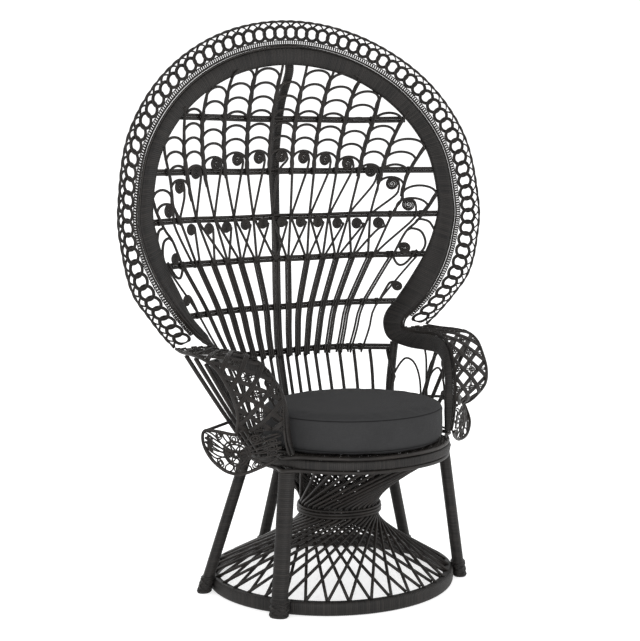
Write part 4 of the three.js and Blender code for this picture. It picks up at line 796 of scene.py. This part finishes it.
def upperLobeParts(sign, columns, rows, strand, gap):
    parts = []

    def add(a, b, lift, radius=upperLobe["thin"], closed=False):
        parts.append(lobeTube(upperEdges, 0.004, sign, a / columns, b / rows, lift, radius, closed))

    for slant in (1, -1):
        for k in range(-rows, columns + rows):
            for side in (-1, 0, 1):
                b = np.linspace(0, rows, 17)
                a = k + 0.5 + slant * b + side * gap
                keep = (a > -0.02) & (a < columns + 0.02)
                if keep.sum() > 3:
                    add(a[keep], b[keep], 1.4 * slant, strand)
    turn, reach = circle(18), np.linspace(-0.42, 0.42, 9)
    for i in range(columns + 1):
        for j in range(rows + 1):
            add(i + 0.13 * np.cos(turn), j + 0.15 * np.sin(turn), 2.6, upperLobe["star"], True)
            inward = (np.linspace(0, 0.42, 5), reach, np.linspace(-0.42, 0, 5))[j]
            for side in (-0.05, 0.05):
                if j == 1:
                    add(i + reach, j + side + 0 * reach, 0.4)
                add(i + side + 0 * inward, j + inward, -0.8)
    return parts


def lowerLobeParts(sign):
    parts = []

    def add(u, v, lift, radius, closed=False):
        parts.append(lobeTube(lowerEdges, 0.01, sign, 0.52 + u, 0.5 + v, lift, radius, closed))

    turn = circle(24)
    for wide, high, lift in ((0.16, 0.32, 0), (0.13, 0.25, 1.2), (0.05, 0.1, 1.5), (0.025, 0.05, 2)):
        add(wide * np.cos(turn), high * np.sin(turn), lift, lowerLobe["knot"], True)
    # pairs of strands run from the knot to the edge, and curls stand between them
    t = np.linspace(0.07, 1, 9)
    for k in range(12):
        middle = (k + 0.5) / 12 * 2 * math.pi
        for angle, swing in ((middle - 0.05, 0.025), (middle + 0.05, -0.025)):
            c, s = math.cos(angle), math.sin(angle)
            reach = min(0.5 / max(abs(s), 1e-3), 0.47 / max(abs(c), 1e-3))
            bow = swing * np.sin(t * 2 * math.pi)
            add(c * reach * t - s * bow, s * reach * t + c * bow, -0.8 + 1.6 * (k % 2),
                lowerLobe["pair"])
    for angle in circle(12):
        c, s = math.cos(angle), math.sin(angle)
        reach = 0.3822 / max(abs(s), abs(c))
        for wide, high in ((0.045, 0.1), (0.022, 0.05)):
            add(c * reach + wide * np.cos(turn), s * reach + high * np.sin(turn), 0.8,
                lowerLobe["curl"], True)
    return parts


for sign, side in bothSides:
    rimShape = smooth(placed(armRim["shares"]), 130) * [sign, 1, 1]
    piece("arm_rim_cane_" + side, [tube(rimShape, armRim["radius"], 10)], "arm_rim_" + side)
    lobe = [upperLobe[key] for key in ("columns", "rows", "strand", "gap")]
    piece("upper_lobe_lace_" + side, upperLobeParts(sign, *lobe), "upper_lace_" + side)
    piece("lower_lobe_lace_" + side, lowerLobeParts(sign), "lower_lace_" + side)

# Braces and stays, each from its foot to its head
brace = dict(radius=5.6, bow=2.0, sides=10)
stay = dict(radius=4.0, bow=0.0, sides=9)
braceEnds = [([1048, -112, -11], [1668, 108, 251]), ([1048, -212, -11], [1700, -140, 251]),
             ([1048, -312, -11], [1704, -352, 242])]
stayEnds = ([1248, -48, 77], [1660, -212, 70])


def braceTube(sign, foot, head, radius, bow, sides):
    a, b = placed([foot, head]) * [sign, 1, 1]
    t = np.linspace(0, 1, 14)[:, None]
    path = a * (1 - t) + b * t + np.array([sign, 0, -0.6]) * bow * 4 * t * (1 - t)
    return tube(path, radius, sides)


for sign, side in bothSides:
    for k, ends in enumerate(braceEnds):
        number = "%d_%s" % (k + 1, side)
        piece("brace_cane_" + number, [braceTube(sign, *ends, **brace)], "brace_" + number)
    piece("lobe_stay_cane_" + side, [braceTube(sign, *stayEnds, **stay)], "lobe_stay_" + side)

# Rails across the back: two canes each, with small ties where other canes cross
rails = dict(heights=[850, 708, 582, 466, 332, 207], reaches=[1464, 1848, 1880, 1696, 1344, 1200],
             more=[0, 0, 0, 15, 17, 4], gaps=[0.8, 1, 1, 0.8, 0.8, 1.8], deep=12.0, strand=4.4,
             tie=1.3, tieDeep=6.6, tieHigh=9.4)


def railAt(k, x, rise=0.0):
    z = heightAt(rails["heights"][k]) + 0 * x
    turn = np.abs(backDepth(x, z + 8) - backDepth(x, z - 8))
    slope = (backDepth(x + 12, z) - backDepth(x - 12, z)) / 24
    setback = (6.5 + rails["deep"] * np.hypot(1, slope) + turn) / 2 + rails["gaps"][k] - 1.2
    return np.stack([x, backDepth(x, z) + setback, z + rise], 1)


def railParts(k, crossings):
    parts = []
    x = np.linspace(-1, 1, 81)
    x = (across(rails["reaches"][k]) + rails["more"][k]) * np.sign(x) * np.abs(x) ** 0.8
    for rise in (rails["strand"], -rails["strand"]):
        parts.append(tube(railAt(k, x, rise + 0.7 * np.sin(x / 47 + k)), rails["strand"], 9))
    angle = circle(14)
    tie = np.stack([0 * angle, rails["tieDeep"] * np.cos(angle) - 1.5,
                    rails["tieHigh"] * np.sin(angle)], 1)
    for x in crossings:
        for side in (-2.6, 0.0, 2.6):
            path = railAt(k, np.array([x + side]))[0] + tie
            parts.append(tube(path, rails["tie"], 5, True, first=(1, 0, 0)))
    return parts


# Canes of the back above the fourth rail. Spokes, arches and outer arches are mirrored; the curls'
# tails and the crossing canes run down to the left, or to the next bundle on the right, everywhere.
lattice = dict(
    radius=3.75, archPitch=36, archRise=25.0, archFirst=23, archCounts=[6, 7, 7, 6, 5, 4, 2],
    curlRise=4.0, curlStrand=2.4, curlTurns=3.6, sideCurls=[([1504, 480], 18.0), ([1384, 371], 16.0)],
    spokes=[
        [[156, 993], [152, 852], [148, 716], [120, 586]],
        [[496, 981], [468, 852], [440, 716], [372, 586]],
        [[824, 951], [792, 852], [736, 716], [628, 586]],
        [[1120, 915], [1116, 852], [1024, 714], [892, 586]],
        [[1448, 871], [1400, 834], [1280, 706], [1148, 586]],
        [[1688, 769], [1548, 691], [1492, 622], [1396, 584], [1156, 459]],
        [[1856, 643], [1764, 600], [1636, 558], [1524, 529], [1380, 461]]],
    spokeFeet=[120, 372, 628, 892, 1148], bundleHeads=[80, 332, 536, 712, 908],
    crossedRight=[332, 536, 712, 908, 1108], crossedLeft=[80, -80, -332, -536, -712],
    outerArches=[
        [[1632, 557], [1668, 566], [1760, 559], [1808, 534]],
        [[1536, 533], [1592, 540], [1680, 531], [1716, 504], [1696, 481], [1624, 460]],
        [[1388, 472], [1396, 452], [1436, 436], [1496, 438], [1568, 456], [1632, 478]],
        [[1372, 387.5], [1320, 384], [1260, 362], [1200, 336]]])
upperCurls = dict(
    radius=20.5, middles=[[0, 745], [292, 741], [576, 736], [864, 724], [1148, 702], [1392, 665],
                          [1568, 604]],
    tails=[[[-48, 699], [-120, 587]], [[324, 699], [132, 587]], [[608, 694], [384, 587]],
           [[880, 686], [640, 587]], [[1160, 661], [888, 587]], [[1420, 634], [1164, 587]],
           [[1608, 566], [1260, 487], [1156, 459]]],
    leftTails=[[[-252, 699], [-372, 587]], [[-532, 694], [-628, 587]], [[-816, 686], [-892, 587]],
               [[-1096, 661], [-1148, 587]], [[-1328, 634], [-1396, 587]],
               [[-1480, 566], [-1280, 487], [-1200, 459]]])
lowerCurls = dict(
    radius=17.8, middles=[[0, 564], [248, 562], [480, 560], [732, 555], [976, 553], [1232, 553]],
    tails=[[[-80, 459]], [[88, 459]], [[332, 459]], [[536, 459]], [[712, 459]],
           [[1200, 534], [908, 459]]],
    leftTails=[[[-332, 459]], [[-536, 459]], [[-712, 459]], [[-908, 459]], [[-1116, 459]]])
spokeLines = [onBack(shares) for shares in lattice["spokes"]]


def spokeX(k, z):
    x, heights = spokeLines[k][::-1].T
    return np.interp(z, heights, x)


def curlPath(centre, radius, strand, side, turns, tail=None):
    # spiral from the middle outward, which leaves on its right (side 1) and runs down
    count = int(turns * 18)
    angle = np.linspace(turns * 2 * math.pi, 0, count)
    size = np.linspace(0, 1, count) ** 0.85 * (radius - strand)
    flat = np.stack([centre[0] + side * size * np.cos(angle), centre[1] + size * np.sin(angle)], 1)
    if tail is None:
        return flat
    gone = np.vstack([flat[-1:], flat[-1:] + [[0, -radius * 0.55]], tail])
    return np.vstack([flat[:-1], smooth(gone, 14)])


def flatCane(flat, lift=0.0, radius=lattice["radius"], sides=8):
    path = onSurface(even(flat, 7) if len(flat) < 12 else flat, lift)
    return tube(path, radius, sides, first=(0, 1, 0))


def archPath(column, peak, sign):
    # an arch whose legs run on down beside the spokes
    foot = peak - lattice["archRise"]

    def spokesAt(z):
        right = spokeX(column, z)
        return (-right if column == 0 else spokeX(column - 1, z)), right

    left, right = spokesAt(foot)
    angle = np.radians(np.linspace(172, 8, 15))
    top = np.stack([(left + right) / 2 + ((right - left) / 2 - 1.5) * np.cos(angle),
                    foot + lattice["archRise"] * np.sin(angle)], 1)
    start, end = [], []
    for drop, away in ((31, 1.6), (20, 2.6), (9, 3.6)):
        left, right = spokesAt(foot - drop)
        start.append([left + away, foot - drop])
        end.insert(0, [right - away, foot - drop])
    return smooth(np.vstack([start, top, end]), 44) * [sign, 1]


def latticeParts():
    look = lattice
    turned = [np.array([sign, 1]) for sign in (1, -1)]
    parts = [flatCane(smooth(line * side, 30), 1.0) for line in spokeLines for side in turned]

    def straight(starts, ends, lift, sides):
        for start, end in zip(starts, ends):
            line = onBack([[start, 588], [end, 459]])
            parts.extend(flatCane(line * side, lift) for side in sides)

    straight(look["spokeFeet"], look["bundleHeads"], 0.6, turned)
    parts += [flatCane(smooth(onBack(shares) * side, 24)) for shares in look["outerArches"]
              for side in turned]
    straight(look["spokeFeet"], look["crossedRight"], -0.8, turned[:1])
    straight(np.negative(look["spokeFeet"]), look["crossedLeft"], -0.8, turned[:1])
    for column, count in enumerate(look["archCounts"]):
        first = upperCurls["middles"][column][1] + look["archFirst"]
        for i in range(count):
            peak = heightAt(first + i * look["archPitch"])
            for sign in ((1,) if column == 0 else (1, -1)):
                parts.append(flatCane(archPath(column, peak, sign), -1.2 + 0.5 * (i % 2)))
    return parts


def curlParts():
    curls = []
    for look in (upperCurls, lowerCurls):
        radius, middles = look["radius"], look["middles"]
        curls += [(x, z, radius, 1, onBack(tail)) for (x, z), tail in zip(middles, look["tails"])]
        curls += [(-x, z, radius, 1, onBack(tail))
                  for (x, z), tail in zip(middles[1:], look["leftTails"])]
    curls += [(sign * x, z, radius, -sign, None) for sign in (1, -1)
              for (x, z), radius in lattice["sideCurls"]]
    parts = []
    for x, z, radius, side, tail in curls:
        centre = onBack([x, z]) + [0, lattice["curlRise"]]
        flat = curlPath(centre, radius, lattice["curlStrand"], side, lattice["curlTurns"], tail)
        thick = 2.5 + np.clip((np.arange(len(flat)) - 60) / 6, 0, 1)
        parts.append(flatCane(flat, 1.6, thick, 7))
    return parts


# Bundles of parallel canes below the fourth rail, and the canes between the last rail and the seat
bundles = dict(
    heights=[456, 332, 259, 199],
    places=[[80, 80, 72, 64], [332, 220, 196, 176], [536, 380, 332, 292], [712, 540, 472, 416],
            [908, 696, 612, 544], [1116, 860, 760, 676], [1352, 1028, 896, 784],
            [1612, 1188, 1032, 900]],
    canes=[3, 3, 3, 3, 3, 3, 2, 1], radius=3.15, gap=7.2, narrowing=[1, 1, 0.96, 0.92])
lowerCanes = dict(heads=[56, 172, 288, 420, 560, 700, 844, 988, 1128],
                  feet=[52, 156, 264, 380, 496, 608, 716, 820, 912], radius=4.8, setback=10.0,
                  top=seat + 197.7, low=seat + 10.9)


def bundleParts(heights, places, canes, radius, gap, narrowing):
    parts = []
    z = heightAt(heights)
    for shares, count in zip(places, canes):
        for sign in (1, -1):
            for k in range(count):
                off = (k - (count - 1) / 2) * gap * np.array(narrowing)
                line = np.stack([sign * across(shares) + off, z], 1)
                head = line[0] + (line[0] - line[1]) * 0.07
                nub = line[-1] - [0, 3.0 + 1.5 * ((k * 7 + len(parts)) % 3)]
                path = smooth(np.vstack([head, line, nub]), 22)
                parts.append(flatCane(path, 0.4 if k % 2 else 0.0, radius))
    return parts


def lowerCaneParts(heads, feet, radius, setback, top, low):
    def rimY(x):
        return seatCentreY + np.sqrt(np.maximum(seatStrand["ringRadius"] ** 2 - x ** 2, 0))

    parts = []
    t = np.linspace(0, 1, 12)
    for head, foot in zip(across(heads), across(feet)):
        for sign in (1, -1):
            x = sign * (head + (foot - head) * t)
            y = rimY(x) * t + (backDepth(x, top + 0 * x) + setback) * (1 - t)
            parts.append(tube(np.stack([x, y, top + (low - top) * t], 1), radius, 8, first=(0, 1, 0)))
    x = np.linspace(-0.93, 0.93, 60) * inside
    parts.append(tube(np.stack([x, rimY(x) - 1, 0 * x + low + 4], 1), 3.2))
    return parts


def crossingsOn(k):
    # places along a rail where other canes cross it
    z = heightAt(rails["heights"][k])
    found = [spokeX(i, z) for i, line in enumerate(spokeLines)
             if line[:, 1].min() - 4 < z < line[:, 1].max() + 4]
    heights = heightAt(bundles["heights"])[::-1]
    if z < heights[-1] + 15:
        found += [np.interp(z, heights, across(shares)[::-1]) for shares in bundles["places"]]
    reach = across(rails["reaches"][k]) - 12
    return [sign * x for x in found for sign in (1, -1) if x < reach]


for k in range(6):
    piece("rail_canes_%d" % (k + 1), railParts(k, crossingsOn(k)), "rail_%d" % (k + 1))
piece("back_lattice_canes", latticeParts(), "back_lattice")
piece("back_curls", curlParts())
piece("bundle_canes", bundleParts(**bundles), "cane_bundles")
piece("lower_back_slats", lowerCaneParts(**lowerCanes), "lower_back_canes")

# Side panels under the arms. Strokes and curls are in shares of the panel's length and height.
panel = dict(
    corners=[[988, 64, 9], [1212, 264, 215], [996, -784, 9], [1048, -736, 215]],
    footBow=18.0, headBow=26.0, length=215.0, height=206.0, radius=3.0,
    strokes=[
        [[447, 10], [428, 461], [400, 825], [353, 1000]],
        [[493, 10], [470, 291], [433, 534]],
        [[-90, 600], [-20, 740], [65, 830], [177, 801], [270, 680], [335, 461], [367, 10]],
        [[433, 607], [488, 801], [581, 922], [679, 1000]],
        [[437, 437], [502, 655], [595, 752], [698, 777], [791, 704], [860, 558], [921, 291],
         [949, 10]],
        [[870, 854], [828, 631]],
        [[335, 39], [958, 39]]],
    curls=[[0.825, 0.854], [0.845, 0.447]], curl=15.0, curlStrand=2.2, curlTurns=2.6, curlRadius=2.4)


def panelAt(s, h, lift):
    rearFoot, rearHead, frontFoot, frontHead = placed(panel["corners"])

    def at(s, h):
        s, h = s[:, None], h[:, None]
        foot = rearFoot * (1 - s) + frontFoot * s
        head = rearHead * (1 - s) + frontHead * s
        bow = 4 * s * (1 - s) * (panel["footBow"] + (panel["headBow"] - panel["footBow"]) * h)
        return foot * (1 - h) + head * h + bow * np.array([1.0, 0, 0])

    normal = unit(np.cross(at(s + 0.01, h) - at(s, h), at(s, h + 0.01) - at(s, h)))
    return at(s, h) + normal * lift


def panelParts(sign):
    parts = []

    def add(s, h, lift, radius, sides):
        parts.append(tube(panelAt(s, h, lift) * [sign, 1, 1], radius, sides, first=(1, 0, 0)))

    for k, shares in enumerate(panel["strokes"]):
        add(*smooth(np.array(shares) / 1000, 24).T, 0.9 * (k % 3 - 1), panel["radius"], 8)
    x, z = curlPath((0, 0), panel["curl"], panel["curlStrand"], 1, panel["curlTurns"]).T
    for s, h in panel["curls"]:
        add(s + x / panel["length"], h + z / panel["height"], 1.2, panel["curlRadius"], 7)
    return parts


for sign, side in bothSides:
    piece("side_panel_canes_" + side, panelParts(sign), "side_panel_" + side)

# Cushion: a round box cushion, blown up a little as cloth and drawn in at its seams
pad = dict(radius=242.0, bottom=400.3, thick=102.7, seams=(487.0, 411.0), smaller=2.5, cap=4.0,
           voxel=0.005, seamDepth=1.3, pressure=4.0)


def padProfile():
    low, high = pad["bottom"] + 1.0, pad["bottom"] + pad["thick"]
    radius = pad["radius"] - pad["smaller"]
    wall = [(radius - 13, low + 1.5), (radius - 5, low + 8), (radius - 0.5, low + 22),
            (radius - 2.5, low + 42), (radius - 3.5, low + 58), (radius - 1, 475), (radius, 483),
            (radius - 2.2, 489.5), (radius - 7.5, 493.6), (radius - 17, 495.6)]
    crown = [(r * radius, 495.6 + h * (high - 497.6))
             for r, h in ((0.86, 0.33), (0.72, 0.55), (0.55, 0.75), (0.3, 0.93), (0.02, 1.0))]
    return [(r * radius, low) for r in (0.02, 0.6, 0.88)] + wall + crown


def cushionMesh():
    profile = smooth(padProfile(), 70)
    reach, z = profile[:, :1], profile[:, 1:]
    angle = circle(128)
    rings = np.stack([reach * np.cos(angle), cushionCentreY + reach * np.sin(angle),
                      np.repeat(z, 128, 1)], -1)
    return sweep(rings, profile[:, 1], np.stack([np.cos(angle), np.sin(angle)], 1) * 236)


def readPoints(mesh):
    out = np.empty(len(mesh.vertices) * 3)
    mesh.vertices.foreach_get("co", out)
    return out.reshape(-1, 3)


def writePoints(mesh, points):
    mesh.vertices.foreach_set("co", points.ravel())
    mesh.update()


def applyModifiers(obj):
    done = bpy.data.meshes.new_from_object(obj.evaluated_get(bpy.context.evaluated_depsgraph_get()))
    obj.modifiers.clear()
    obj.data = done


cushion = piece("cushion_cover", [cushionMesh()], "cushion", finish=cloth, slot="cushion_cloth",
                body="cushion_body")
voxels = cushion.modifiers.new("voxels", "REMESH")
voxels.mode, voxels.voxel_size, voxels.use_smooth_shade = "VOXEL", pad["voxel"], True
applyModifiers(cushion)
before = readPoints(cushion.data)
blown = cushion.modifiers.new("blown", "CLOTH")
blown.collision_settings.use_collision = False
blown = blown.settings
blown.quality, blown.mass = 5, 0.3
blown.use_pressure, blown.uniform_pressure_force = True, pad["pressure"]
blown.effector_weights.gravity = 0.0
blown.tension_stiffness = blown.compression_stiffness = 40
for step in range(1, 21):
    bpy.context.scene.frame_set(step)
applyModifiers(cushion)
bpy.context.scene.frame_set(1)
moved = readPoints(cushion.data) - before
size = np.linalg.norm(moved, axis=1, keepdims=True)
writePoints(cushion.data, before + moved * np.minimum(1, pad["cap"] / 1000 / np.maximum(size, 1e-9)))
print("cushion blown, most", round(float(size.max()) * 1000, 1), "mm before the cap")
eased = cushion.modifiers.new("eased", "SMOOTH")
eased.factor, eased.iterations = 0.5, 8
finer = cushion.modifiers.new("finer", "SUBSURF")
finer.levels = finer.render_levels = 1
applyModifiers(cushion)
points = readPoints(cushion.data)
rest = points - [0, clothCentre, 0]
reach = np.hypot(rest[:, 0], rest[:, 1])
for z in pad["seams"]:
    near = np.exp(-((points[:, 2] * 1000 - z) / 2.0) ** 2 / 2) * (reach > 0.215)
    points[:, :2] -= rest[:, :2] * (near / np.maximum(reach, 1e-6) * pad["seamDepth"] / 1000)[:, None]
points[:, 2] = np.maximum(points[:, 2], pad["bottom"] / 1000)
writePoints(cushion.data, points)
cushion.data.polygons.foreach_set("use_smooth", np.ones(len(cushion.data.polygons), bool))
if not cushion.data.materials:
    cushion.data.materials.append(cloth)
print("cushion finished,", len(cushion.data.polygons), "faces")

# Floor, light and camera. Each lamp has its place, size and power.
stage = dict(floor=150.0, world=1.2)
lamps = dict(key=((-3.4, -3.0, 1.5), 2.2, 46), fill=((3.4, -2.0, 1.2), 2.2, 24),
             rear=((0.8, 3.4, 1.6), 2.2, 24), low=((-1.5, -2.9, 0.5), 1.2, 20))
shot = dict(place=(-2.055, -2.925, 1.089), target=(-0.0172, 0.0049, 0.7025), roll=-0.679,
            lens=75.885)
floorMesh = bpy.data.meshes.new("floor")
corners = [(x, y, 0) for x, y in np.array([(-1, -1), (1, -1), (1, 1), (-1, 1)]) * stage["floor"]]
floorMesh.from_pydata(corners, [], [(0, 1, 2, 3)])
floorMesh.materials.append(paleFloor("pale_floor"))
floor = added("floor", floorMesh)

world = bpy.data.worlds.new("studio")
world.use_nodes = True
sky = world.node_tree.nodes["Background"].inputs
sky["Color"].default_value, sky["Strength"].default_value = (1, 1, 1, 1), stage["world"]
bpy.context.scene.world = world
for name, (place, size, power) in lamps.items():
    lamp = bpy.data.lights.new(name, "AREA")
    lamp.shape, lamp.size, lamp.energy = "DISK", size, power
    holder = added(name, lamp)
    holder.location = place
    holder.rotation_euler = (Vector((0, 0, 0.75)) - Vector(place)).to_track_quat("-Z", "Y").to_euler()

camera = added("camera", bpy.data.cameras.new("camera"))
camera.data.lens, camera.data.sensor_width = shot["lens"], 36.0
camera.data.sensor_fit = "HORIZONTAL"
away = (Vector(shot["place"]) - Vector(shot["target"])).normalized()
right = Vector((0, 0, 1)).cross(away).normalized()
above = away.cross(right)
roll = math.radians(shot["roll"])
turned = Matrix((right * math.cos(roll) + above * math.sin(roll),
                 above * math.cos(roll) - right * math.sin(roll), away)).transposed()
camera.matrix_world = Matrix.Translation(shot["place"]) @ turned.to_4x4()
bpy.context.scene.camera = camera
bpy.context.scene.view_settings.view_transform = "Standard"
